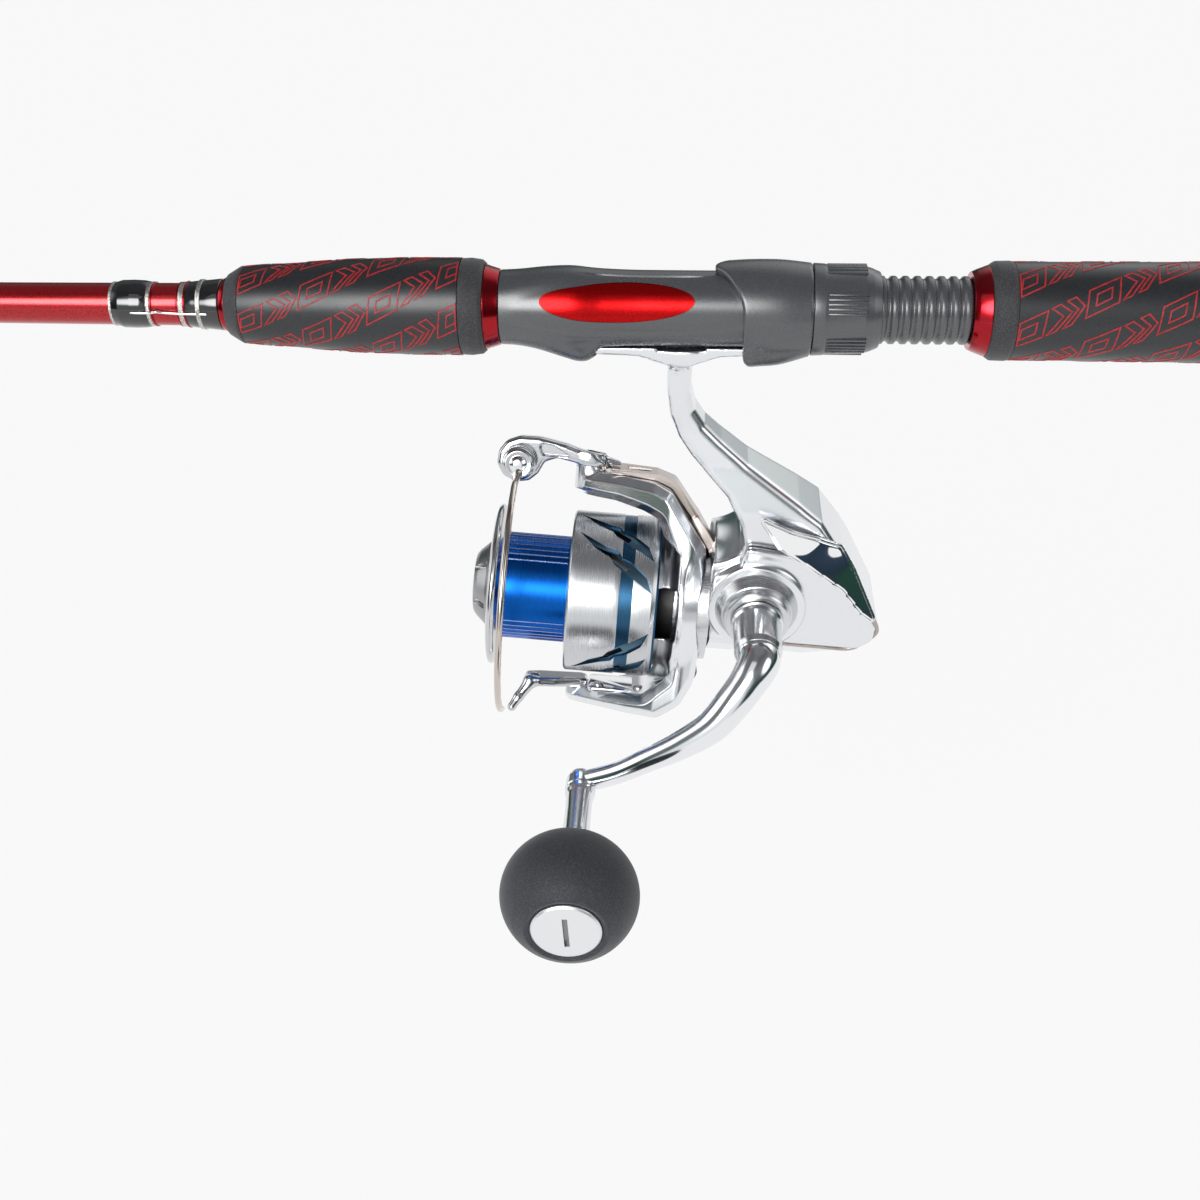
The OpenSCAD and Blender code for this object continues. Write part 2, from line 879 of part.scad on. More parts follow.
// ---------- bail ----------
module bail_arm() {
  color(silver)
    turned()
      difference() {
        union() {
          ext_y([
            [-28.6, 44.5], [-29.2, 47], [-35, 48.8], [-42, 51], [-51, 52.6], [-58, 52.5], [-62.5, 50.6],
            [-65, 47], [-65.4, 42.6], [-63, 38.6], [-58.5, 36.6], [-54, 37.4], [-51, 40.2], [-49, 44.2],
            [-45, 45.8], [-38, 44.5]
          ], -5, 1.5);
          translate([hinge_x, 0, 0])
            cyl_z(5, 44.5, 47.2);
          translate([hinge_x, 0, 0])
            cyl_z(2, 37, 46);
        }
        ext_y([[-41, 47], [-50, 47.6], [-50.6, 50.6], [-46, 50.2]], -5.1, -3.6);
        translate([roll_x, 0, roll_z])
          cyl_y(1.55, -6, 2);
      }
}
module line_roller() {
  color(steel)
    turned()
      translate([roll_x, 0, roll_z])
        revy([
          [1.68, -9.4], [5.2, -9.4], [5.2, -8.8], [4.2, -7.9], [4.2, -7], [5.2, -5.9], [5.2, -5.3],
          [1.68, -5.3]
        ]);
}
module roller_screw() {
  color(steel)
    turned()
      translate([roll_x, 0, roll_z])
        difference() {
          revy([
            [0, 1.4], [1.5, 1.4], [1.5, -5.2], [1.6, -5.2], [1.6, -9.6], [1.5, -9.6], [1.5, -12.6],
            [2.9, -12.6],
            [2.9, -13.4], [2.4, -13.8], [0, -13.8]
          ], 48);
          translate([-2, -14.2, -0.3])
            cube([4, 1, 0.6]);
        }
}
module bail_wire() {
  color(silver)
    turned() {
      difference() {
        union() {
          translate([roll_x, 0, roll_z])
            revy([[0, -9.7], [5.2, -9.7], [5.7, -10.3], [5.4, -12], [4.6, -12.5], [0, -12.5]], 64);
          translate([roll_x, ring_y, 0])
            rotate([0, 90, 0])
              rotate([0, 0, -174])
                rotate_extrude(angle = 158, $fn = 128)
                  translate([ring_r, 0])
                    circle(r = 1.15, $fn = 20);
        }
        translate([roll_x, 0, roll_z])
          cyl_y(1.55, -13, -9);
        translate([roll_x, 0, roll_z])
          cyl_y(3.2, -14.6, -12.55);
        translate([roll_x, 0, roll_z])
          cyl_y(1.8, -9.8, -5);
      }
    }
}
module bail_lever() {
  color(silver)
    turned() {
      difference() {
        union() {
          translate([0, 0, -33])
            linear_extrude(2.5)
              polygon([
                [-29, -3], [-31, -4.8], [-40, -7.5], [-50, -9.5], [-51, -7], [-51, 1], [-46, 3],
                [-38, 4],
                [-31, 4.8], [-29, 3]
              ]);
          translate([hinge_x, 0, 0])
            cyl_z(2, -36.6, -31);
          ext_y([
            [-46, -32], [-46, -39], [-52.5, -42], [-55.6, -42], [-55.6, -37], [-51, -31.4]
          ], -12.6, -6);
        }
        translate([roll_x, ring_y, 0])
          rotate([0, 90, 0])
            rotate_extrude($fn = 128)
              translate([ring_r, 0])
                circle(r = 1.2, $fn = 20);
      }
      translate([-47.5, -4, 0])
        cyl_z(1.8, -30.6, -30.1, 32);
    }
}

// ---------- spool and shaft ----------
module main_shaft() {
  color(steel)
    reel()
      difference() {
        revx([
          [0, -68], [1.75, -68], [1.75, -34], [5.6, -34], [5.6, -33], [1.75, -33], [1.75, slider_end],
          [0, slider_end]
        ], 48);
        translate([-68.5, -3, 1.2])
          cube([12, 6, 2]);
      }
}
module slider() {
  color(steel)
    reel()
      difference() {
        ext_x([
          [-2.9, -1.6], [-2.9, 2.4], [-1.6, 3.6], [2, 3.6], [10.4, -4], [11, -6], [10.6, -9.6],
          [8.4, -11],
          [3, -11]
        ], slider_x, slider_end);
        cyl_x(1.8, slider_x - 1, slider_end + 1, 48);
        translate([0, worm_y, worm_z])
          cyl_x(3.1, slider_x - 1, slider_end + 1, 64);
      }
}
module worm_shaft() {
  color(brass)
    reel()
      translate([0, worm_y, worm_z]) {
        difference() {
          cyl_x(2.9, 26.9, 50.2, 64);
          for (x = [31 : 4 : 47]) {
            for (lean = [24, -24]) {
              translate([x, 0, 0])
                rotate([0, lean, 0])
                  revx([[2.2, -0.4], [4.4, -0.4], [4.4, 0.4], [2.2, 0.4]], 48);
            }
          }
        }
        cyl_x(1.5, 19.9, 51.8, 32);
        translate([20, 0, 0])
          rotate([90, 0, 90])
            linear_extrude(3.4)
              polygon(gear_pts(24, 5.4, 6.42, 3.8, 1.4, 0));
      }
}
// slanting blade-shaped opening through the skirt
module blade(a, s) {
  rotate([a, 0, 0])
    translate([0, 0, 20])
      linear_extrude(12)
        polygon([
          [-34.4, s * 10.2], [-27, s * 2.6], [-17, -s * 6.4],
          [-10.4, -s * 9.8], [-14, -s * 4], [-22, s * 2]
        ]);
}
module spool() {
  s = skirt_r;
  color(silver)
    reel()
      difference() {
        revx([
          [1.85, -58], [6, -58], [6, -52], [16.4, -52], [16.4, -49.5], [6, -49.5], [6, -37],
          [18.4, -37],
          [18.6, -37.6], [s - 0.8, -37.6], [s, -36.8], [s, -20.4], [s - 0.4, -20.2], [s - 0.4, -16.2],
          [s, -16], [s, -9.6], [s - 0.5, -8], [s - 1.5, -8], [s - 1.5, -34.6], [1.85, -34.6]
        ], 128);
        for (side = [68, 248]) {
          for (turn = [36, 59]) {
            blade(side - turn, 1);
            blade(side + turn, -1);
          }
        }
      }
}
module spool_arbor() {
  color(blue)
    reel()
      revx([
        [16.45, -59.9], [18.45, -59.9], [18.45, -37.65],
        [18.3, -37.65], [18.3, -37.1], [16.45, -37.1]
      ], 128);
}
module spool_lip() {
  color(silver)
    reel()
      revx([
        [15.6, -60], [18.5, -60], [24, -60.4], [27.6, -61.6], [28, -62.4], [27.6, -63.4], [26.4, -64],
        [20, -64.3], [16.2, -63], [15.6, -62.4]
      ], 128);
}
module drag_washers() {
  color(grey)
    reel()
      for (i = [0 : 3]) {
        r = 14.6 - 0.4 * (i % 2);
        x = -59.6 + i * 1.9;
        revx([[6.1, x], [r, x], [r, x + 1.5], [6.1, x + 1.5]], 72);
      }
}
module drag_knob() {
  color(grey)
    reel()
      difference() {
        revx([
          [1.85, -60.2], [5.4, -60.2], [5.4, -62.9], [15.2, -62.9], [15.2, -64.6], [14.4, -66],
          [11.4, -69.2],
          [10, -70.2], [9, -70.4], [0, -70.4], [0, -68.6], [1.85, -68.6]
        ]);
        for (i = [0 : 5]) {
          rotate([60 * i, 0, 0])
            translate([-72, 10.4, -1])
              cube([6.4, 4, 2]);
        }
      }
}

blank();
guide_wraps();
keeper_wraps();
hook_keeper();
guide_1();
guide_2();
guide_3();
guide_4();
guide_5();
guide_6();
guide_rings();
tip_top();
tip_ring();
fore_check_front();
fore_ring_front();
fore_grip();
fore_ring_rear();
fore_check_rear();
reel_seat();
seat_windows();
rear_check();
rear_ring_front();
rear_grip();
butt_cap();
sliding_hood();
lock_nut();
reel_body();
side_cover();
rear_plate();
body_screws();
axle_cap();
gear_bearings();
pinion_bearings();
one_way_clutch();
drive_gear();
handle_collar();
handle_arm();
knob_stem();
knob();
knob_cap();
rotor();
rotor_nut();
pinion();
arm_cover();
arm_plate();
rotor_screws();
bail_spring();
bail_arm();
bail_lever();
bail_wire();
roller_screw();
line_roller();
main_shaft();
slider();
worm_shaft();
spool();
spool_arbor();
spool_lip();
drag_washers();
drag_knob();
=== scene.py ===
import bpy
import bmesh
import json
import math
import numpy as np
from mathutils import Matrix, Vector

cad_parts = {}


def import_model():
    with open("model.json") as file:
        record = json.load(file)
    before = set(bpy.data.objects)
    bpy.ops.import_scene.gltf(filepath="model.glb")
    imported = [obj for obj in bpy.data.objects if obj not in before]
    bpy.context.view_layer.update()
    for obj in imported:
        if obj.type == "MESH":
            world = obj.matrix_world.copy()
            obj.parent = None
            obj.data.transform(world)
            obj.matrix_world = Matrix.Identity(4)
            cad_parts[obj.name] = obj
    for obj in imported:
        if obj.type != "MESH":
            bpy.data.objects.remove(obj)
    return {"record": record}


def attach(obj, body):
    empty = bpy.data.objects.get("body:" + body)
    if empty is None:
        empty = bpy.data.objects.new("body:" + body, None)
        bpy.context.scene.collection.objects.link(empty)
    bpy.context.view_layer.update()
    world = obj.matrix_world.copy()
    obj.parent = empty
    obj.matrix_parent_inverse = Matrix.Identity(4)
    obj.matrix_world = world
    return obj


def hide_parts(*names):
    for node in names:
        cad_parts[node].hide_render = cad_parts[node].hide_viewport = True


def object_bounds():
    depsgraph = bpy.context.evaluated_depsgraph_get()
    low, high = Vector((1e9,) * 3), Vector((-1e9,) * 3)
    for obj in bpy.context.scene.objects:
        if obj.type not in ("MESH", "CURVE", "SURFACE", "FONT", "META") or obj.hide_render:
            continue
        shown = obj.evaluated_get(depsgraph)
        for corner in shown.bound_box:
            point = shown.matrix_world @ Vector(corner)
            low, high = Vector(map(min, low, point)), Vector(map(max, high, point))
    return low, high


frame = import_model()
cad_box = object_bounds()

# ---------------------------------------------------------------- places (millimetres)
TIP_X = -1980.0          # tip of the rod, from the butt end
STATION = -380.0         # middle of the reel stem
DROP = 108.3             # spool axis below the rod axis
TILT = math.radians(4.5)     # reel against the rod
TURN = math.radians(-22)     # rotor about the spool's axis
BLANK_R = 6.6
TIP_R = 1.15
TAPER_X = -520           # the blank tapers from here to its tip
BORE_R = 6.4             # of the grips and rings on the blank
AXLE = (25.4, 12.0)      # handle axle, x and z from the reel's own origin
HINGE_X = -33.7          # hinges of the bail on the rotor arms
ROLLER = (-57.5, 44.0)   # x and z of its axis
RING = (41.8, -5.2)      # bail wire: radius and centre
KNOB = (-27.7, -107.4, -38.0)
CAMERA_AT = Vector((STATION + 2.9, -427.7, 190.6)) * 0.001     # metres
# line guides: place from the tip, inner radius of the ring, height of its middle below the rod axis
GUIDES = [(105, 2.6, 8.5), (230, 2.6, 9.5), (375, 3.0, 11), (545, 3.8, 13.5), (755, 5.2, 18),
          (1030, 8.2, 26)]

PLAIN = Matrix.Identity(4)
ROD = Matrix.Translation((STATION, 0, 0))
REEL = Matrix.Translation((STATION, 0, -DROP)) @ Matrix.Rotation(TILT, 4, 'Y')
TURNED = REEL @ Matrix.Rotation(TURN, 4, 'X')
ALONG_X = Matrix(((0, 0, 1, 0), (1, 0, 0, 0), (0, 1, 0, 0), (0, 0, 0, 1)))   # local z to x
ALONG_Y = Matrix(((1, 0, 0, 0), (0, 0, 1, 0), (0, -1, 0, 0), (0, 0, 0, 1)))  # local z to y


# ---------------------------------------------------------------- camera
def camera():
    """The reference view: from the handle's side, looking down."""
    up_angle, side_angle, roll = math.radians(35), math.radians(4), math.radians(-1.18)
    look = Vector((-math.sin(side_angle) * math.cos(up_angle), math.cos(side_angle) * math.cos(up_angle),
                   -math.sin(up_angle)))
    right = Vector((math.cos(side_angle), math.sin(side_angle), 0))
    up = right.cross(look)
    r = right * math.cos(roll) + up * math.sin(roll)
    u = up * math.cos(roll) - right * math.sin(roll)
    data = bpy.data.cameras.new("camera")
    data.sensor_width = 36
    data.lens = 45
    data.clip_start = 0.01
    data.clip_end = 100
    cam = bpy.data.objects.new("camera", data)
    bpy.context.collection.objects.link(cam)
    cam.matrix_world = Matrix((r, u, -look)).transposed().to_4x4()
    cam.matrix_world.translation = CAMERA_AT
    bpy.context.scene.camera = cam


camera()


# ---------------------------------------------------------------- materials
M = {}      # every Surface by its name


def new_node(tree, kind, values, source, into):
    """A new shader node with the given input values, fed by source."""
    n = tree.nodes.new("ShaderNode" + kind)
    for socket, value in values.items():
        n.inputs[socket].default_value = value
    tree.links.new(source, n.inputs[into])
    return n


class Surface:
    """A principled material with small helpers for its nodes."""

    def __init__(self, name, color, rough, metal=0.0, coat=0.0, coat_rough=0.05, spec=0.5, sheen=0.0):
        self.mat = bpy.data.materials.new(name)
        self.mat.use_nodes = True
        self.tree = self.mat.node_tree
        self.bsdf = self.tree.nodes["Principled BSDF"]
        self.height = None
        for socket, value in (("Base Color", (*color, 1)), ("Roughness", rough), ("Metallic", metal),
                              ("Coat Weight", coat), ("Coat Roughness", coat_rough),
                              ("Specular IOR Level", spec), ("Sheen Weight", sheen)):
            self.bsdf.inputs[socket].default_value = value
        M[name] = self

    def node(self, kind, values, source, into):
        return new_node(self.tree, kind, values, source, into)

    def feed(self, output, socket):
        self.tree.links.new(output, self.bsdf.inputs[socket])

    def coords(self, stretch=(1, 1, 1)):
        places = self.tree.nodes.new("ShaderNodeTexCoord").outputs["Object"]
        return self.node("Mapping", {"Scale": stretch}, places, "Vector").outputs["Vector"]

    def noise(self, scale, detail=3, stretch=(1, 1, 1), rough=0.55):
        values = {"Scale": scale, "Detail": detail, "Roughness": rough}
        return self.node("TexNoise", values, self.coords(stretch), "Vector").outputs["Fac"]

    def cells(self, scale):
        return self.node("TexVoronoi", {"Scale": scale}, self.coords(), "Vector").outputs["Distance"]

    def shade(self, source, low, high, start=0.35, end=0.65):
        """Colour from low to high by the source."""
        n = self.node("ValToRGB", {}, source, "Fac")
        for stop, place, color in zip(n.color_ramp.elements, (start, end), (low, high)):
            stop.position = place
            stop.color = (*color, 1)
        self.feed(n.outputs["Color"], "Base Color")

    def roughen(self, source, low, high):
        n = self.node("MapRange", {"To Min": low, "To Max": high}, source, "Value")
        self.feed(n.outputs["Result"], "Roughness")

    def bump(self, source, strength, distance):
        n = self.node("Bump", {"Strength": strength, "Distance": distance}, source, "Height")
        if self.height is not None:
            self.tree.links.new(self.height, n.inputs["Normal"])
        self.height = n.outputs["Normal"]
        self.feed(self.height, "Normal")


def metallic(name, color, rough, grain, depth):
    s = Surface(name, color, rough, metal=1.0)
    s.roughen(s.noise(grain * 0.6, 2), rough * 0.92, rough * 1.1)
    s.bump(s.noise(grain, 3), depth, 0.00002)
    return s


def turned_metal(name, color, rough, axis, depth, coat=0.0):
    """Metal with fine lines around the given axis (0 x, 1 y)."""
    s = Surface(name, color, rough, metal=1.0, coat=coat)
    stretch = [1, 1, 1]
    stretch[axis] = 160
    n = s.noise(55, 5, stretch, 0.7)
    s.roughen(n, rough * 0.7, rough * 1.5)
    s.bump(n, depth, 0.00004)
    s.shade(n, [c * (1 - 1.5 * depth) for c in color], color, 0.3, 0.7)


def foam(name, color, light):
    s = Surface(name, color, 0.62, spec=0.4, sheen=0.15)
    c = s.cells(3000)
    s.shade(c, color, light, 0.2, 0.9)
    s.bump(c, 0.25, 0.00015)
    s.bump(s.noise(5000, 3), 0.12, 0.00005)


s = Surface("blank_red", (0.36, 0.004, 0.008), 0.22, metal=0.75, coat=0.6, coat_rough=0.03)
s.shade(s.noise(2400, 2), (0.28, 0.003, 0.006), (0.5, 0.008, 0.014), 0.4, 0.62)
s.bump(s.noise(1200, 2), 0.03, 0.00005)
s = Surface("wrap_black", (0.006, 0.006, 0.007), 0.08, coat=1.0, coat_rough=0.02)
s.bump(s.noise(40, 2, (5, 1, 1)), 0.12, 0.0004)
s.roughen(s.noise(140), 0.05, 0.12)
s = Surface("trim_silver", (0.7, 0.7, 0.68), 0.3, metal=0.9, coat=1.0)
s.shade(s.cells(3400), (0.9, 0.88, 0.84), (0.25, 0.22, 0.2), 0.2, 0.7)
s.bump(s.cells(3400), 0.5, 0.0002)
s = Surface("ring_ceramic", (0.012, 0.012, 0.014), 0.12, coat=0.4)
s.roughen(s.noise(300), 0.08, 0.2)
s = Surface("grip_black", (0.014, 0.0145, 0.017), 0.34, spec=0.55)
s.shade(s.noise(1500, 3), (0.011, 0.0115, 0.0135), (0.02, 0.021, 0.024), 0.3, 0.7)
s.roughen(s.noise(700, 3), 0.3, 0.38)
s.bump(s.noise(4500, 3), 0.05, 0.00004)
s = Surface("grip_red", (0.33, 0.012, 0.016), 0.5)
s.shade(s.noise(900, 4), (0.24, 0.008, 0.011), (0.42, 0.02, 0.024), 0.3, 0.7)
s.bump(s.noise(4500, 3), 0.06, 0.00004)
s = Surface("seat_grey", (0.068, 0.069, 0.075), 0.26, spec=1.0)
s.shade(s.noise(2200, 3), (0.047, 0.048, 0.053), (0.058, 0.06, 0.065), 0.3, 0.7)
s.roughen(s.noise(900, 3), 0.25, 0.29)
s.bump(s.noise(5200, 3), 0.05, 0.00003)
s = Surface("hood_grey", (0.07, 0.071, 0.078), 0.26, spec=1.0)
s.shade(s.noise(3000, 4, rough=0.7), (0.038, 0.039, 0.043), (0.066, 0.068, 0.074))
s.roughen(s.noise(1200, 3), 0.24, 0.3)
s.bump(s.noise(5200, 3), 0.1, 0.00005)
s = Surface("window_red", (0.42, 0.002, 0.003), 0.26, metal=0.9, coat=0.05, coat_rough=0.03)
s.shade(s.noise(2600, 2), (0.36, 0.001, 0.002), (0.5, 0.002, 0.003), 0.4, 0.62)
# near-black painted as painted shade: on the rotor's core behind its windows, the web across the body's
# collar, the floor of the bail arm's pocket and the slot of the lever's pin head
s = Surface("painted_shade_black", (0.008, 0.008, 0.009), 0.45)
s.roughen(s.noise(300), 0.35, 0.55)
s = metallic("body_silver", (0.8, 0.815, 0.835), 0.22, 2600, 0.04)
s.shade(s.noise(5200, 2), (0.78, 0.795, 0.815), (0.83, 0.845, 0.865))

# name, colour, roughness, scale of the grain, depth of the grain
for row in (("guide_steel", (0.62, 0.62, 0.64), 0.12, 900, 0.08),
            ("mirror_chrome", (0.9, 0.905, 0.91), 0.035, 300, 0.01),
            ("polished", (0.84, 0.85, 0.87), 0.12, 800, 0.03),
            ("arm_bright", (0.6, 0.605, 0.625), 0.13, 700, 0.03),
            ("champagne", (0.46, 0.4, 0.37), 0.26, 1200, 0.1),
            # darker silver painted on the inside of the rotor's cup and on its drum as painted shade
            ("rotor_inside_painted_shade", (0.4, 0.41, 0.43), 0.3, 2600, 0.04),
            ("wire_warm", (0.6, 0.54, 0.5), 0.14, 900, 0.03),
            # darker grey painted inside the knob cap's slot as painted shade
            ("cap_slot_painted_shade", (0.3, 0.3, 0.31), 0.4, 2400, 0.06),
            ("cap_silver", (0.82, 0.83, 0.84), 0.36, 2400, 0.06),
            ("bevel_blue", (0.1, 0.18, 0.25), 0.25, 900, 0.08)):
    metallic(*row)

# name, colour, roughness, axis, depth of the lines
for row in (("polished_lines", (0.8, 0.81, 0.83), 0.16, 1, 0.04),
            ("steel", (0.6, 0.6, 0.62), 0.25, 0, 0.08),
            ("brass", (0.7, 0.5, 0.22), 0.3, 1, 0.08),
            ("spool_silver", (0.62, 0.63, 0.65), 0.24, 0, 0.04),
            ("lip_silver", (0.66, 0.66, 0.67), 0.14, 0, 0.08),
            ("boss_silver", (0.72, 0.73, 0.74), 0.24, 1, 0.08),
            ("arbor_blue", (0.006, 0.105, 0.46), 0.24, 0, 0.08),
            ("arbor_rib", (0.5, 0.54, 0.86), 0.2, 0, 0.08),
            ("ring_blue", (0.03, 0.1, 0.19), 0.25, 0, 0.08),
            ("knob_grey", (0.4, 0.4, 0.41), 0.3, 0, 0.08),
            ("anodised_red", (0.38, 0.002, 0.01), 0.2, 0, 0.08, 0.4)):
    turned_metal(*row)

for row in (("foam", (0.012, 0.012, 0.014), (0.055, 0.055, 0.06)),
            ("knob_black", (0.012, 0.0135, 0.017), (0.05, 0.055, 0.064)),
            ("washer_dark", (0.02, 0.02, 0.02), (0.06, 0.06, 0.06))):
    foam(*row)

SLOTS = {p["node"]: p["material_slot"] for p in frame["record"]["subparts"]}

# every CAD node gets the procedural material of its slot
for node, slot in SLOTS.items():
    cad = bpy.data.objects.get(node)
    if cad is None or cad.type != 'MESH':
        continue
    for place in cad.material_slots:
        place.material = M[slot].mat
    if not cad.material_slots:
        cad.data.materials.append(M[slot].mat)


# ---------------------------------------------------------------- shapes (millimetres)
class Shape:
    """Vertices, faces and, for each face, the number of its material."""

    def __init__(self, verts, faces, tag=0):
        self.verts = np.array(verts, float).reshape(-1, 3)
        self.faces = [tuple(int(k) for k in f) for f in faces]
        self.tags = [tag] * len(self.faces) if isinstance(tag, int) else list(tag)

    def at(self, matrix):
        m = np.array(matrix)
        return Shape(self.verts @ m[:3, :3].T + m[:3, 3], self.faces, self.tags)

    def move(self, x=0, y=0, z=0):
        return self.at(Matrix.Translation((x, y, z)))

    def turn(self, degrees, axis='X'):
        return self.at(Matrix.Rotation(math.radians(degrees), 4, axis))

    def tag(self, number):
        return Shape(self.verts, self.faces, number)

    def __add__(self, other):
        n = len(self.verts)
        faces = self.faces + [tuple(k + n for k in f) for f in other.faces]
        return Shape(np.vstack([self.verts, other.verts]), faces, self.tags + other.tags)


def total(shapes):
    shapes = list(shapes)
    out = shapes[0]
    for s in shapes[1:]:
        out = out + s
    return out


def rounded(outline, steps=4):
    """A closed outline whose corners with a third number, a radius, become arcs."""
    out, n = [], len(outline)
    for i, p in enumerate(outline):
        if len(p) == 2 or p[2] == 0:
            out.append((p[0], p[1]))
            continue
        b = np.array(p[:2], float)
        u = np.array(outline[i - 1][:2], float) - b
        v = np.array(outline[(i + 1) % n][:2], float) - b
        lu, lv = np.linalg.norm(u), np.linalg.norm(v)
        u, v = u / lu, v / lv
        half = math.acos(max(-1, min(1, float(u @ v)))) / 2
        if half > 1.55:
            out.append(tuple(b))
            continue
        cut = min(p[2] / math.tan(half), 0.48 * lu, 0.48 * lv)
        centre = b + (u + v) / np.linalg.norm(u + v) * cut / math.cos(half)
        start, end = b + u * cut - centre, b + v * cut - centre
        sweep = math.pi - 2 * half
        for k in range(steps + 1):
            t = k / steps
            a = math.sin((1 - t) * sweep) / math.sin(sweep)
            c = math.sin(t * sweep) / math.sin(sweep)
            out.append(tuple(centre + start * a + end * c))
    return out


def lathe(outline, sides=96):
    """Turned shape about Z from a closed outline of (radius, height[, rounding]) points."""
    verts, faces, rings = [], [], []
    turns = [2 * math.pi * i / sides for i in range(sides)]
    for r, z in rounded(outline):
        if r < 1e-3:
            rings.append([len(verts)])
            verts.append((0, 0, z))
        else:
            rings.append(list(range(len(verts), len(verts) + sides)))
            verts += [(r * math.cos(t), r * math.sin(t), z) for t in turns]
    for a, b in zip(rings, rings[1:] + rings[:1]):
        for i in range(sides):
            j = (i + 1) % sides
            quad = list(dict.fromkeys([a[i % len(a)], a[j % len(a)], b[j % len(b)], b[i % len(b)]]))
            if len(quad) > 2:
                faces.append(quad)
    return Shape(verts, faces)


def lathe_x(outline, sides=96):
    return lathe(outline, sides).at(ALONG_X)


def lathe_y(outline, sides=96):
    return lathe(outline, sides).at(ALONG_Y)


def plate(outline, low, high, bevel=0.3):
    """Flat shape from an (x, y) outline between two heights, with softened rims."""
    bm = bmesh.new()
    points = rounded(outline, 5)
    lower = [bm.verts.new((x, y, low)) for x, y in points]
    upper = [bm.verts.new((x, y, high)) for x, y in points]
    bm.faces.new(lower[::-1])
    bm.faces.new(upper)
    n = len(points)
    for i in range(n):
        bm.faces.new((lower[i], lower[(i + 1) % n], upper[(i + 1) % n], upper[i]))
    if bevel:
        rims = [e for e in bm.edges if abs(e.verts[0].co.z - e.verts[1].co.z) < 1e-6]
        bmesh.ops.bevel(bm, geom=rims, offset=bevel, segments=2, profile=0.5, affect='EDGES')
    bm.verts.index_update()
    out = Shape([v.co[:] for v in bm.verts], [[v.index for v in f.verts] for f in bm.faces])
    bm.free()
    return out


def box(low, high, bevel=0.3):
    return plate([(low[0], low[1]), (high[0], low[1]), (high[0], high[1]), (low[0], high[1])],
                 low[2], high[2], bevel)


def smooth_path(points, per=10):
    """Catmull-Rom curve through the points."""
    p = [np.array(q, float) for q in points]
    p = [2 * p[0] - p[1]] + p + [2 * p[-1] - p[-2]]
    out = []
    for i in range(1, len(p) - 2):
        for k in range(per):
            t = k / per
            out.append(0.5 * (2 * p[i] + (p[i + 1] - p[i - 1]) * t
                              + (2 * p[i - 1] - 5 * p[i] + 4 * p[i + 1] - p[i + 2]) * t * t
                              + (3 * p[i] - p[i - 1] - 3 * p[i + 1] + p[i + 2]) * t ** 3))
    return out + [p[-2]]


def tube(path, radius, sides=24, wide=1.0):
    """Round bar along a path; radius is a number or a function of the share of its length."""
    path = [Vector(p) for p in path]
    lengths = [0.0]
    for a, b in zip(path, path[1:]):
        lengths.append(lengths[-1] + (b - a).length)
    size = radius if callable(radius) else lambda t: radius
    n = len(path)
    verts = []
    across = Vector((0.3, 1, 0.2))
    for i, p in enumerate(path):
        ahead = (path[min(i + 1, n - 1)] - path[max(i - 1, 0)]).normalized()
        across = (across - ahead * across.dot(ahead)).normalized()
        other = ahead.cross(across)
        r = size(lengths[i] / lengths[-1])
        for k in range(sides):
            a = 2 * math.pi * k / sides
            verts.append(p + across * (r * wide * math.cos(a)) + other * (r * math.sin(a)))
    faces = strips(n, sides)
    faces.append(tuple(range(sides))[::-1])
    faces.append(tuple(range((n - 1) * sides, n * sides)))
    return Shape([v[:] for v in verts], faces)


def strips(rows, count):
    """Faces between rows of points that each close on themselves."""
    return [(i * count + k, i * count + (k + 1) % count, (i + 1) * count + (k + 1) % count,
             (i + 1) * count + k) for i in range(rows - 1) for k in range(count)]


def ease(t):
    """0 to 1 with a soft start and end."""
    t = np.clip(t, 0, 1)
    return t * t * (3 - 2 * t)


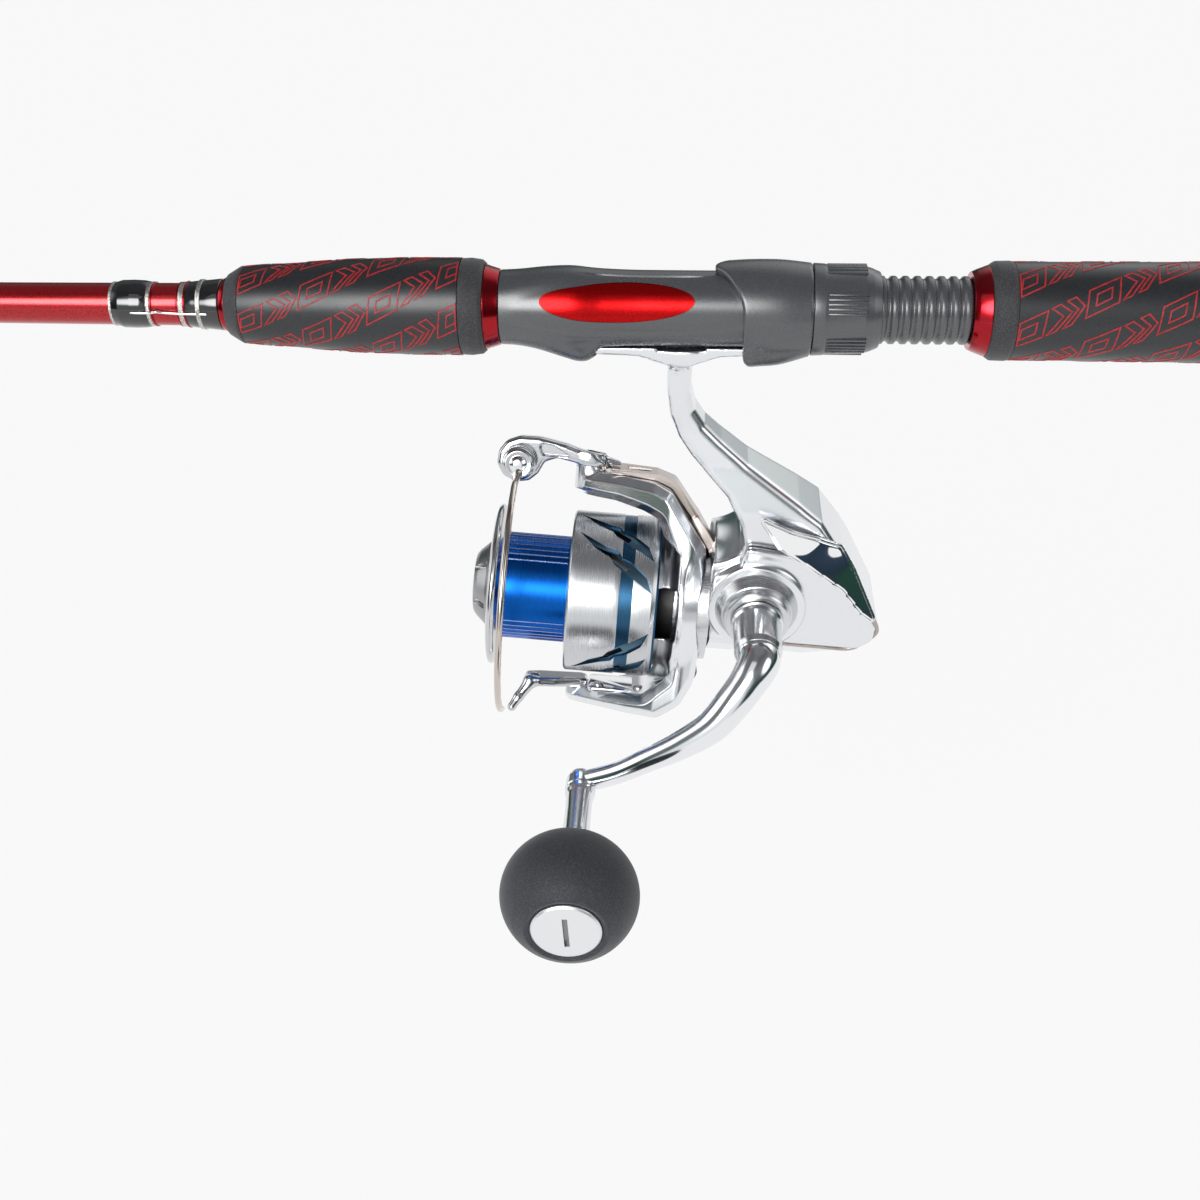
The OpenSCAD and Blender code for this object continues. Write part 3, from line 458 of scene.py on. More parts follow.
# ---------------------------------------------------------------- castings: blended solids
class Field:
    """A signed distance on a grid; smaller is inside."""

    def __init__(self, low, high, step):
        self.low, self.step = np.array(low, float), step
        count = [int(math.ceil((b - a) / step)) + 1 for a, b in zip(low, high)]
        axes = [low[i] + step * np.arange(count[i]) for i in range(3)]
        self.x, self.y, self.z = np.meshgrid(*axes, indexing='ij', sparse=True)
        self.d = np.full(count, 1e3)

    def add(self, d, blend=0.0):
        self.d = soft_min(self.d, d, blend)

    def cut(self, d, blend=0.0):
        self.d = -soft_min(-self.d, d, blend)

    def along(self, axis):
        """The two directions across an axis, then the axis itself."""
        return {'x': (self.y, self.z, self.x), 'y': (self.x, self.z, self.y),
                'z': (self.x, self.y, self.z)}[axis]

    def prism(self, outline, low, high, axis='y', steps=3):
        """Distance to an outline swept along an axis. Outlines are (x, z), (y, z) or (x, y) points."""
        u, v, w = self.along(axis)
        return np.maximum(flat_distance(np.array(rounded(outline, steps)), u, v),
                          np.maximum(low - w, w - high))

    def rod(self, a, b, ra, rb):
        """Distance to a round bar that tapers from one end to the other."""
        a, b = np.array(a, float), np.array(b, float)
        ab = b - a
        t = ((self.x - a[0]) * ab[0] + (self.y - a[1]) * ab[1] + (self.z - a[2]) * ab[2]) / (ab @ ab)
        t = np.clip(t, 0, 1)
        d = sum((c - a[i] - t * ab[i]) ** 2 for i, c in enumerate((self.x, self.y, self.z)))
        return np.sqrt(d) - (ra + (rb - ra) * t)

    def disc(self, centre, radius, low, high, axis='y'):
        """Distance to a flat-ended cylinder."""
        u, v, w = self.along(axis)
        return np.maximum(np.hypot(u - centre[0], v - centre[1]) - radius, np.maximum(low - w, w - high))

    def block(self, low, high, round_by=0.0):
        q = [np.maximum(low[i] - c, c - high[i]) + round_by for i, c in enumerate((self.x, self.y, self.z))]
        out = np.sqrt(sum(np.maximum(a, 0) ** 2 for a in q))
        return out + np.minimum(np.maximum(np.maximum(q[0], q[1]), q[2]), 0) - round_by

    def shape(self):
        """Mesh of the zero surface: one vertex in each crossed cell, at the mean of the points where the
        cell's edges cross it.
        """
        d, s = self.d, self.d < 0
        corners = [(i, j, k) for i in (0, 1) for j in (0, 1) for k in (0, 1)]
        n = np.array(d.shape) - 1

        def part(a, o):
            return a[o[0]:o[0] + n[0], o[1]:o[1] + n[1], o[2]:o[2] + n[2]]

        filled = sum(part(s, o).astype(np.int8) for o in corners)
        cells = np.argwhere((filled > 0) & (filled < 8))
        number = np.full(n, -1, np.int64)
        number[tuple(cells.T)] = np.arange(len(cells))
        place = np.zeros((len(cells), 3))
        weight = np.zeros(len(cells))
        for a in corners:
            for axis in range(3):
                if a[axis]:
                    continue
                b = list(a)
                b[axis] = 1
                da = d[tuple((cells + a).T)]
                db = d[tuple((cells + b).T)]
                cross = (da < 0) != (db < 0)
                t = np.where(cross, da / np.where(cross, da - db, 1), 0)
                at = np.array(a, float) + np.outer(t, np.eye(3)[axis])
                place += at * cross[:, None]
                weight += cross
        place = (cells + place / weight[:, None]) * self.step + self.low
        faces = []
        for axis in range(3):
            o1, o2 = [k for k in range(3) if k != axis]
            lead = [slice(None)] * 3
            lag = [slice(None)] * 3
            lead[axis], lag[axis] = slice(1, None), slice(None, -1)
            cross = s[tuple(lag)] != s[tuple(lead)]
            e = np.argwhere(cross)
            e = e[(e[:, o1] > 0) & (e[:, o2] > 0) & (e[:, o1] < n[o1]) & (e[:, o2] < n[o2])]
            quad = []
            for p, q in ((0, 0), (1, 0), (1, 1), (0, 1)):
                c = e.copy()
                c[:, o1] -= p
                c[:, o2] -= q
                quad.append(number[tuple(c.T)])
            quad = np.stack(quad, 1)
            flip = s[tuple(lag)][tuple(e.T)] ^ (axis == 1)
            quad[flip] = quad[flip][:, ::-1]
            faces.append(quad)
        return Shape(place, np.vstack(faces))


def soft_min(a, b, k):
    """Smaller of two distances, blended over k."""
    if k <= 0:
        return np.minimum(a, b)
    h = np.clip(0.5 + 0.5 * (b - a) / k, 0, 1)
    return b + (a - b) * h - k * h * (1 - h)


def soft_max(a, b, k):
    return -soft_min(-a, -b, k)


def flat_distance(points, u, v):
    """Signed distance in the plane to a closed outline, negative inside."""
    shape = np.broadcast(u, v).shape
    u, v = np.broadcast_to(u, shape), np.broadcast_to(v, shape)
    best = np.full(shape, 1e9)
    inside = np.zeros(shape, bool)
    for (ax, ay), (bx, by) in zip(points, np.roll(points, -1, 0)):
        ex, ey = bx - ax, by - ay
        t = np.clip(((u - ax) * ex + (v - ay) * ey) / (ex * ex + ey * ey + 1e-12), 0, 1)
        best = np.minimum(best, (u - ax - t * ex) ** 2 + (v - ay - t * ey) ** 2)
        if ay != by:
            inside ^= ((ay > v) != (by > v)) & (u < (bx - ax) * (v - ay) / (by - ay) + ax)
    return np.where(inside, -1, 1) * np.sqrt(best)


# ---------------------------------------------------------------- pieces
def piece(name, shape, body, paints=None, slot=None, at=REEL, sharp=38):
    """Make one Blender object of a shape, in place and riding on its body.

    A name that a CAD node has too makes it stand for that node, which is hidden; without paints, it takes the
    material of the node's slot.
    """
    slot = slot or SLOTS[name]
    paints = paints or slot
    mesh = bpy.data.meshes.new(name)
    mesh.from_pydata((shape.at(at).verts * 0.001).tolist(), [], shape.faces)
    for p in ([paints] if isinstance(paints, str) else paints):
        mesh.materials.append(M[p].mat)
    mesh.polygons.foreach_set("material_index", shape.tags)
    outward(mesh, weld=True)
    mesh.shade_smooth()
    mesh.set_sharp_from_angle(angle=math.radians(sharp))
    obj = bpy.data.objects.new(name + "_looks" if name in bpy.data.objects else name, mesh)
    bpy.context.collection.objects.link(obj)
    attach(obj, body)
    if name in SLOTS:
        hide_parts(name)


def outward(mesh, weld=False):
    """Turn the faces outward; points within half a micron of each other can be joined first."""
    bm = bmesh.new()
    bm.from_mesh(mesh)
    if weld:
        bmesh.ops.remove_doubles(bm, verts=bm.verts, dist=0.0005 * 0.001)
    bmesh.ops.recalc_face_normals(bm, faces=bm.faces)
    bm.to_mesh(mesh)
    bm.free()


def carve(shape, cutter, operation='DIFFERENCE'):
    """Boolean of two closed shapes; faces keep their material numbers."""
    made = []
    for s in (shape, cutter):
        mesh = bpy.data.meshes.new("tool")
        mesh.from_pydata(s.verts.tolist(), [], s.faces)
        for _ in range(max(max(shape.tags), max(cutter.tags)) + 1):
            mesh.materials.append(None)
        mesh.polygons.foreach_set("material_index", s.tags)
        outward(mesh)
        obj = bpy.data.objects.new("tool", mesh)
        bpy.context.collection.objects.link(obj)
        made.append(obj)
    mod = made[0].modifiers.new("cut", 'BOOLEAN')
    mod.operation = operation
    mod.solver = 'EXACT'
    mod.material_mode = 'INDEX'
    mod.object = made[1]
    bpy.context.view_layer.update()
    done = made[0].evaluated_get(bpy.context.evaluated_depsgraph_get()).to_mesh()
    out = Shape([v.co[:] for v in done.vertices], [tuple(p.vertices) for p in done.polygons],
                [p.material_index for p in done.polygons])
    for obj in made:
        mesh = obj.data
        bpy.data.objects.remove(obj)
        bpy.data.meshes.remove(mesh)
    return out


def carved(shape, cutters):
    for cutter in cutters:
        shape = carve(shape, cutter)
    return shape


def around(count, shape, axis='X'):
    return total(shape.turn(360 * i / count, axis) for i in range(count))


def sleeve(inner, outer, start, end, corner=0.0, sides=96):
    """Plain ring about X; its outer corners can be rounded."""
    return lathe_x([(inner, start), (outer, start, corner), (outer, end, corner), (inner, end)], sides)


# ---------------------------------------------------------------- rod
def blank_at(x):
    """Radius of the blank."""
    return TIP_R + (BLANK_R - TIP_R) * min(1.0, (x - TIP_X) / (TAPER_X - TIP_X))


def blank():
    shape = lathe_x([(0, TIP_X), (TIP_R, TIP_X), (BLANK_R, TAPER_X), (BLANK_R, -4), (0, -4)], 128)
    piece("blank", shape, "rod", at=PLAIN)


def thread_wrap(x0, x1, height):
    """A whipping of thread under a domed coat of varnish."""
    a, b = blank_at(x0), blank_at(x1)
    return lathe_x([(a - 0.3, x0), (a + 0.1, x0), (a + height * 0.75, x0 + 1.2, 1), (a + height, x0 + 3, 2),
                    (b + height, x1 - 3, 2), (b + height * 0.75, x1 - 1.2, 1), (b + 0.1, x1), (b - 0.3, x1)],
                   64)


def ceramic(r, thick, sides):
    """Ring that the line runs through."""
    outer = r + thick
    return lathe_x([(r, -0.5, 0.3), (r + 0.35, -1, 0.3), (outer, -1, 0.2), (outer, 1, 0.2),
                    (r + 0.35, 1, 0.3), (r, 0.5, 0.3)], sides)


def rim_wire(inner, sides):
    """Wire rim that holds a ceramic ring."""
    return lathe_x([(inner, -0.9, 0.2), (inner + 0.9, -0.9, 0.4), (inner + 0.9, 0.9, 0.4),
                    (inner, 0.9, 0.2)], sides)


def guide_furniture():
    """Wraps, frames and rings of the six line guides and of the tip."""
    wraps, trims = [], []
    for i, (offset, ring, drop) in enumerate(GUIDES):
        x, reach = TIP_X + offset, 10 + ring
        for way in (-1, 1):
            wraps.append(thread_wrap(*sorted((x + way * (reach - 3), x + way * (reach + 9))), 1.1))
            trims.append(thread_wrap(*sorted((x + way * (reach + 9.2), x + way * (reach + 10.8))), 0.4))
        a, b = blank_at(x - reach), blank_at(x + reach)
        ring_high = -drop + ring + 1.5
        frame_wire = 0.42 + 0.028 * ring
        path = [(x - reach - 4, 0, -a - 0.2), (x - reach + 2, 0, -a - 0.5), (x - 6, 0, -a - 1.0),
                (x - 2.5, 0, (ring_high - a) / 2), (x - 0.3, 0, ring_high)]
        front = tube(smooth_path(path), lambda t: frame_wire * (0.75 + 0.4 * t), 14, 1.3)
        legs = [tube(smooth_path([(x + reach + 4, s * 0.5, -b - 0.2), (x + reach - 2, s * 0.6, -b - 0.5),
                                  (x + 6, s * 0.9, -b - 1.2),
                                  (x + 3, s * (ring * 0.6 + 0.8), -(b + drop) / 2),
                                  (x + 0.6, s * (ring + 1.4), -drop + 0.5)]), frame_wire, 14)
                for s in (-1, 1)]
        rim = rim_wire(ring + 1.0, 72).move(x, 0, -drop)
        piece(f"guide_{i + 1}", rim + front + legs[0] + legs[1], "rod", at=PLAIN)
    piece("guide_wraps", total(wraps), "rod", at=PLAIN)
    piece("guide_trims", total(trims), "rod", "trim_silver", slot="blank_red", at=PLAIN)
    rings = [ceramic(r, 1.05, 72).move(TIP_X + x, 0, -h) for x, r, h in GUIDES]
    piece("guide_rings", total(rings), "rod", at=PLAIN)
    piece("tip_ring", ceramic(2.4, 1.02, 64).move(TIP_X - 3, 0, -5.4), "rod", at=PLAIN)
    sleeve = lathe_x([(TIP_R, -0.8), (TIP_R + 0.6, -0.8, 0.3), (TIP_R + 0.75, 0.5, 0.5),
                      (TIP_R + 0.75, 13, 0.3), (TIP_R + 0.4, 14), (TIP_R, 14)], 48).move(TIP_X)
    rim = rim_wire(3.4, 64)
    struts = [tube(smooth_path([(TIP_X + 10, s * 0.8, -1.5), (TIP_X + 4, s * 1.8, -3.6),
                                (TIP_X - 2.5, s * 3.2, -7.7)]), 0.5, 14) for s in (-1, 1)]
    neck = tube([(TIP_X + 1, 0, -1.3), (TIP_X - 3, 0, -1.7)], 0.7, 14)
    piece("tip_top", sleeve + rim.move(TIP_X - 3, 0, -5.4) + struts[0] + struts[1] + neck, "rod", at=PLAIN)


def keeper():
    """Whippings in front of the handle, and the wire hook keeper that they hold."""
    front = lathe_x([(6.4, -176), (6.75, -176, 0.3), (7.35, -173.8, 1.5), (7.45, -170, 3), (7.3, -167, 1.5),
                     (6.95, -165.2, 0.3), (6.4, -165.2)], 96)
    rear = lathe_x([(6.4, -153.4), (6.9, -153.4, 0.4), (7.25, -150.5, 2), (7.6, -146.5, 2),
                    (8.0, -142.2, 0.4), (6.4, -142.2)], 96)
    piece("keeper_wraps", front + rear, "rod", at=ROD)
    trims = (("keeper_trim_silver", "blank_red",
              [(-165.2, -163.9, 6.92), (-155.0, -153.4, 6.95), (-149.3, -147.9, 7.75),
               (-176.9, -176.0, 6.85)]),
             ("keeper_trim_red", "anodised_red",
              [(-163.9, -163.3, 6.88), (-155.7, -155.0, 6.88), (-153.4, -152.8, 7.2)]))
    for name, slot, bands in trims:
        trim = total(sleeve(BORE_R, r, a, b, 0.2) for a, b, r in bands)
        piece(name, trim, "rod", "trim_silver" if slot == "blank_red" else slot, slot=slot, at=ROD)
    wire = tube(smooth_path([(-171.5, -6.9, 0.2), (-167, -7.3, 0.2), (-163.4, -7.5, 0.4),
                             (-161.6, -8.0, 0.9), (-159.8, -7.5, 0.5), (-156, -7.2, 0.1), (-150, -7.3, 0),
                             (-146, -7.4, 0)]), 0.42, 14)
    piece("hook_keeper", wire, "rod", "polished", slot="steel", at=ROD)


def handle_rings():
    """Anodised checks and foam rings between the handle's sections: (radius, place) down the outside."""
    rings = (("fore_check_front", [(7.9, -142.1, 0.3), (8.7, -140.2, 0.2)]),
             ("fore_ring_front", [(9.4, -140.1, 0.8), (11.9, -135.9, 1.0), (11.8, -135.05, 0.3)]),
             ("fore_ring_rear", [(14.6, -67.4, 0.4), (14.75, -64.5, 1.5), (14.3, -61.2, 0.8),
                                 (13.4, -60.2, 0.4)]),
             ("fore_check_rear", [(13.0, -60.1, 0.2), (12.5, -58.8, 0.4), (11.5, -55.6, 0.2)]),
             ("rear_check", [(11.6, 86.6, 0.2), (12.3, 88, 0.6), (13.7, 91.6, 0.2)]),
             ("rear_ring_front", [(13.6, 91.7, 0.9), (14.8, 93.4, 1.5), (14.9, 97.6, 0.5), (14.7, 98.8, 0.3)]))
    for name, profile in rings:
        outline = [(BORE_R, profile[0][1])] + profile + [(BORE_R, profile[-1][1])]
        piece(name, lathe_x(outline, 128), "rod", at=ROD)


def clipped(outline, low, high):
    """Part of an (x, y) outline between two x."""
    for edge, keep in ((low, lambda p: p[0] >= low), (high, lambda p: p[0] <= high)):
        out = []
        for a, b in zip(outline, outline[1:] + outline[:1]):
            if keep(a):
                out.append(a)
            if keep(a) != keep(b):
                t = (edge - a[0]) / (b[0] - a[0])
                out.append((edge, a[1] + t * (b[1] - a[1])))
        outline = out
        if len(outline) < 3:
            return []
    return outline


def ribbon(outline, radius_at, wide, high, wrap_r):
    """Raised line along an outline drawn on a turned surface: x along, y around."""
    pts = []
    for a, b in zip(outline, outline[1:] + outline[:1]):
        n = max(1, int(math.hypot(b[0] - a[0], b[1] - a[1]) / 1.6))
        pts += [(a[0] + (b[0] - a[0]) * k / n, a[1] + (b[1] - a[1]) * k / n) for k in range(n)]
    p = np.array(pts)
    ahead = np.roll(p, -1, 0) - p
    back = p - np.roll(p, 1, 0)
    ahead /= np.linalg.norm(ahead, axis=1)[:, None] + 1e-9
    back /= np.linalg.norm(back, axis=1)[:, None] + 1e-9
    normal = np.stack([-(ahead + back)[:, 1], (ahead + back)[:, 0]], 1)
    length = np.linalg.norm(normal, axis=1)[:, None] + 1e-9
    normal = normal / length * np.minimum(2 / length, 1.8)
    verts = []
    for side, lift in ((-0.5, -0.1), (-0.32, high), (0.32, high), (0.5, -0.1)):
        q = p + normal * side * wide
        r = radius_at(q[:, 0]) + lift
        a = q[:, 1] / wrap_r
        verts.append(np.stack([q[:, 0], -r * np.cos(a), r * np.sin(a)], 1))
    return Shape(np.vstack(verts), strips(4, len(p)))


def slanted(points):
    """Motif points leaned over and raised along the diagonal rows."""
    return [(x + 0.12 * y, y + 0.5 * x) for x, y in points]


# outlined shapes that repeat along a row: a frame inside a frame, and two arrowheads
MOTIFS = (
    ([(-4.7, -4.0), (4.7, -4.0), (4.7, 4.0), (-4.7, 4.0)],
     [(-2.2, -1.7), (2.2, -1.7), (2.2, 1.7), (-2.2, 1.7)]),
    ([(-4.8, -4.0), (-2.4, -4.0), (1.4, 0), (-2.4, 4.0), (-4.8, 4.0), (-1.0, 0)],
     [(-0.4, -4.0), (2.0, -4.0), (5.0, 0), (2.0, 4.0), (-0.4, 4.0), (3.2, 0)]),
)


def embossed(low, high, radius_at, wrap_r):
    """Diagonal rows of outlined shapes over a grip."""
    shapes, rows, pitch, turn_round = [], 6, 10.6, 2 * math.pi * wrap_r
    for row in range(rows):
        for i in range(-8, int((high - low) / pitch) + 8):
            x, y = low + 3 + i * pitch, turn_round * row / rows + i * pitch * 0.5
            for outline in MOTIFS[i % 2]:
                line = clipped([(x + a, y + b) for a, b in slanted(outline)], low + 0.3, high - 0.3)
                if line:
                    shapes.append(ribbon(line, radius_at, 0.62, 0.16, wrap_r))
    return total(shapes)


GRIP_R = 15.18           # rear grip, over its straight part


def grips():
    """Fore and rear grip with their raised pattern, and the butt cap."""
    start, end = 98.9, -9 - STATION
    fore = [(-135, 11.9), (-130, 12.35), (-118.5, 13.05), (-103, 14.2), (-90, 14.7), (-80, 14.8),
            (-67.5, 14.8)]
    rear = [(start, 14.6), (start + 41, GRIP_R - 0.4), (start + 101, GRIP_R), (end, GRIP_R)]
    for name, profile, lift, count, wrap_r in (("fore_grip", fore, -0.12, 28, 14.0),
                                               ("rear_grip", rear, 0, 60, 14.6)):
        xs, rs = [p[0] for p in profile], [p[1] + lift for p in profile]
        curve = [(float(np.interp(x, xs, rs)), x) for x in np.linspace(xs[0], xs[-1], count)]
        outline = [(BORE_R, xs[0])] + curve + [(BORE_R, xs[-1])]
        piece(name, lathe_x(outline, 128), "rod", at=ROD)
        lines = embossed(xs[0], xs[-1], lambda x: np.interp(x, xs, rs), wrap_r)
        piece(name + "_pattern", lines, "rod", "grip_red", slot="grip_black", at=ROD, sharp=60)
    cap = lathe_x([(0, -8.9), (GRIP_R, -8.9, 0.3), (GRIP_R, -1.4, 1.4), (GRIP_R - 2, 0, 1), (9.5, 0, 0.6),
                   (9.0, -0.5, 0.4), (0, -0.5)], 128)
    piece("butt_cap", cap, "rod", "foam", slot="foam", at=PLAIN)


SEAT = [(-55.5, 11.3), (-50, 11.6), (-41, 12.5), (-33, 12.8), (-24, 12.1), (-12, 11.7), (42.5, 11.7)]
SEAT_FLAT = 9.6


def seat_radius(x, a):
    """The seat's skin; angle 0 is +Y, 90 is up."""
    base = smooth_through(x, SEAT)
    r = np.full_like(a, base)
    y, z = np.cos(a), np.sin(a)
    # shallow scoop on both sides around the windows
    u = ((x + 14) / 45) ** 2 + ((z * base - 4.2) / 8.6) ** 2
    r = r - 0.55 * (ease((1.15 - u) / 0.5)) * (np.abs(y) > 0.2)
    # lump in front of the reel foot
    lump = smooth_through(x, [(-55.5, 0), (-51, 0), (-44, 0.8), (-36, 3.4), (-32, 4.9), (-29, 5.0),
                              (-26.4, 3.2), (-24, 0)])
    down = np.clip(-z, 0, 1)
    r = r + lump * 0.75 * ease((down - 0.42) / 0.58)
    if x > -26:
        level = SEAT_FLAT / np.maximum(down, 1e-3)
        r = np.where(down > 0.3, soft_min(r, level, 0.5), r)
    return r


def smooth_through(x, points):
    """Value at x on a smooth line through (x, value) points, without overshoot."""
    for (x0, y0), (x1, y1) in zip(points, points[1:]):
        if x <= x1:
            i = points.index((x0, y0))
            before = points[max(i - 1, 0)]
            after = points[min(i + 2, len(points) - 1)]
            s0 = (y1 - before[1]) / max(x1 - before[0], 1e-6)
            s1 = (after[1] - y0) / max(after[0] - x0, 1e-6)
            h, t = x1 - x0, max(0.0, min(1.0, (x - x0) / (x1 - x0)))
            return ((2 * t ** 3 - 3 * t ** 2 + 1) * y0 + (t ** 3 - 2 * t ** 2 + t) * h * s0
                    + (3 * t ** 2 - 2 * t ** 3) * y1 + (t ** 3 - t ** 2) * h * s1)
    return points[-1][1]


def closed_skin(radius, xs, bore, angles=240):
    """Skin about X over a bore: radius(x, angle) says how far it stands out; 0 is +Y and 90 degrees +Z."""
    a = np.arange(angles) * 2 * math.pi / angles
    rows = [(x, radius(x, a)) for x in xs] + [(x, np.full(angles, bore)) for x in (xs[0], xs[-1])]
    verts = np.vstack([np.stack([np.full(angles, float(x)), r * np.cos(a), r * np.sin(a)], 1) for x,
                       r in rows])
    faces = strips(len(xs), angles)
    last, n = (len(xs) - 1) * angles, len(xs) * angles
    for start, end in ((0, n), (last, n + angles), (n, n + angles)):
        for k in range(angles):
            j = (k + 1) % angles
            faces.append((start + k, start + j, end + j, end + k))
    return Shape(verts, faces)


def window_oval(grow, count=64):
    """Oval laid round the seat and centred 34 degrees above its side, as (x, z) points."""
    turns = [2 * math.pi * i / count for i in range(count)]
    return [((23.4 + grow) * math.cos(t) - 19.5, 11.2 * math.sin(0.59 + (0.575 + grow / 11.2) * math.sin(t)))
            for t in turns]


TO_SIDE = Matrix(((1, 0, 0, 0), (0, 0, -1, 0), (0, 1, 0, 0), (0, 0, 0, 1)))    # (x, y, z) to (x, -z, y)


def seat():
    """Reel seat with a red inlay on each side and a screw thread behind."""
    xs = [-55.5] + list(np.arange(-55.2, -22, 1.0)) + list(np.arange(-22, 42, 2.0)) + [42, 42.4]

    def skin_radius(x, a):
        r = seat_radius(x, a)
        return r - (0.35 if x in (xs[0], xs[-1]) else 0)

    body = closed_skin(skin_radius, xs, 6.7)
    core = sleeve(0, 9.4, -60, 30)
    for low, high in ((4, 16), (-16, -4)):
        body = carve(body, carve(plate(window_oval(0), low, high, 0).at(TO_SIDE), core))
    body = carve(body, box((-32.4, -8, -12.75), (-10, 8, -9.5), 0))
    ridges = []
    for i in range(12):
        x = 44.2 + 3.6 * i
        ridges += [(9.35, x - 0.35), (9.5, x), (10.2, x + 0.55, 0.5), (10.25, x + 1.3, 1),
                   (10.2, x + 2.1, 0.5), (9.5, x + 2.65)]
    thread = lathe_x([(6.7, 42.3), (9.35, 42.3)] + ridges + [(9.35, 86.5), (6.7, 86.5)], 128)
    piece("reel_seat", body, "rod", at=ROD, sharp=30)
    piece("seat_thread", thread, "rod", "seat_grey", slot="seat_grey", at=ROD, sharp=40)
    domed = closed_skin(lambda x, a: np.full_like(a, smooth_through(x, SEAT) - 0.75),
                        list(np.linspace(-45, 6, 60)), 9.2)
    inlays = [carve(domed, plate(window_oval(-0.06), low, high, 0).at(TO_SIDE), 'INTERSECT')
              for low, high in ((3, 16), (-16, -3))]
    piece("seat_windows", total(inlays), "rod", at=ROD, sharp=35)


def hood():
    """Sliding hood: its front edge slants back and down to a lip over the reel foot."""
    angles, rows = 240, 40
    edge = [(-17, 21.2), (-14.5, 19.0), (-9, 18.6), (-4, 18.6), (5.3, 18.2), (8.6, 17.2), (11.7, 15),
            (13.6, 12.4), (14.2, 9.8)]
    profile = [(9.5, 14.1), (14, 14.5), (21, 14.9), (30, 14.85), (38.9, 13.95)]

    def front(a):
        return smooth_through(14.2 * math.sin(a) if math.sin(a) > 0 else 17 * math.sin(a), edge)

    def outer(x, a):
        r = smooth_through(x, profile)
        down = max(0.0, -math.sin(a))
        tip = smooth_through(x, [(18, 1.6), (20.5, 2.6), (24, 2.4), (30, 1.9), (38.9, 0.2)])
        return r + tip * float(ease((down - 0.55) / 0.4))

    verts, faces, loops = [], [], []
    for k in range(angles):
        a = 2 * math.pi * k / angles
        x0 = front(a)
        loop = [(x0 + 0.5, 11.85), (x0 + 0.1, 12.2)]
        first = outer(x0, a)
        loop += [(x0, first - 0.9), (x0 + 0.12, first - 0.35), (x0 + 0.4, first - 0.08)]
        loop += [(x, outer(x, a)) for x in np.linspace(x0 + 0.9, 38.6, rows)]
        loop += [(38.9, outer(38.9, a) - 0.25), (38.9, 11.85)]
        loops.append(loop)
        verts += [(x, r * math.cos(a), r * math.sin(a)) for x, r in loop]
    n = len(loops[0])
    for k in range(angles):
        for i in range(n):
            j, m = (k + 1) % angles, (i + 1) % n
            faces.append((k * n + i, j * n + i, j * n + m, k * n + m))
    shape = carve(Shape(verts, faces), box((0, -8, -12.85), (32.5, 8, -6.85), 0))
    piece("sliding_hood", shape, "hood", "hood_grey", at=ROD, sharp=40)


def nut():
    """Lock nut with six pads of five ribs."""
    shell = lathe_x([(10.35, 39.3), (13.9, 39.3, 0.3), (13.75, 42.6, 0.6), (13.5, 44), (13.15, 54.6, 1.2),
                     (12.5, 57, 1.5), (11.4, 59.6, 0.5), (10.35, 59.6)], 144)
    ribs = []
    for i in range(6):
        for k in range(-2, 3):
            rib = box((43.4, -0.34, 12.6), (55.2, 0.34, 13.95), 0.2)
            ribs.append(rib.turn(60 * i + 6.2 * k))
    piece("lock_nut", shell + total(ribs), "nut", at=ROD, sharp=40)


# ---------------------------------------------------------------- reel, fixed parts
BODY_SIDE = [(-11.6, 97.5), (-11.1, 86), (-10.6, 81), (-9.1, 73.7), (-5.9, 66.8), (-1.1, 60.6), (3.9, 55.5),
             (11.9, 48), (17.3, 38.9), (19, 33, 1), (18.4, 30, 2), (15, 26.8, 2), (10.2, 22.5, 1),
             (10.2, -16.5, 2), (46, -16.5, 4), (66.5, 1, 3), (67.3, 6.6, 3), (56.5, 25), (51.8, 32),
             (43.5, 42.6), (35.5, 48), (17.5, 59), (8, 66.3), (2.3, 71.2), (-1.4, 76.2), (-3.3, 82.7),
             (-3.8, 97.5)]
BODY_SECTION = [(-15, -5, 3), (-4, -16.5, 4), (9, -16.5, 4), (17, -6, 4), (17, 28, 8), (13, 44, 20),
                (8.5, 58, 20), (6.6, 70, 20), (6.4, 88), (7.4, 98), (-7.4, 98), (-6.4, 88), (-6.6, 70, 20),
                (-8.5, 58, 20), (-13, 44, 20), (-15, 34, 8)]


def polish(shape, field, rounds=3):
    """Smooth a casting's mesh and set it back on the field's surface."""
    v = shape.verts.copy()
    quads = np.array(shape.faces)
    edges = np.unique(np.sort(np.vstack([quads[:, [0, 1]], quads[:, [1, 2]], quads[:, [2, 3]],
                                         quads[:, [3, 0]]]), axis=1), axis=0)
    count = np.bincount(edges.ravel(), minlength=len(v)).reshape(-1, 1)
    grad = [g.astype(np.float32) for g in np.gradient(field.d.astype(np.float32), field.step)]
    for _ in range(rounds):
        total_of = np.zeros_like(v)
        for k in range(3):
            total_of[:, k] = (np.bincount(edges[:, 0], v[edges[:, 1], k], len(v))
                              + np.bincount(edges[:, 1], v[edges[:, 0], k], len(v)))
        v = v * 0.5 + total_of / np.maximum(count, 1) * 0.5
        for _ in range(2):
            d = sample(field.d, field, v)
            g = np.stack([sample(a, field, v) for a in grad], 1)
            v = v - g * (d / np.maximum((g * g).sum(1), 0.2))[:, None]
    return Shape(v, shape.faces)


def sample(values, field, points):
    """Trilinear value of a grid at points."""
    q = (points - field.low) / field.step
    i = np.clip(np.floor(q).astype(int), 0, np.array(values.shape) - 2)
    f = q - i
    out = 0.0
    for a in (0, 1):
        for b in (0, 1):
            for c in (0, 1):
                share = np.abs(1 - np.array((a, b, c)) - f).prod(1)
                out = out + share * values[i[:, 0] + a, i[:, 1] + b, i[:, 2] + c]
    return out


def chamfer_max(a, b, size):
    """Larger of two distances, with the corner between them cut flat."""
    return np.maximum(np.maximum(a, b), (a + b + size) * math.sqrt(0.5))


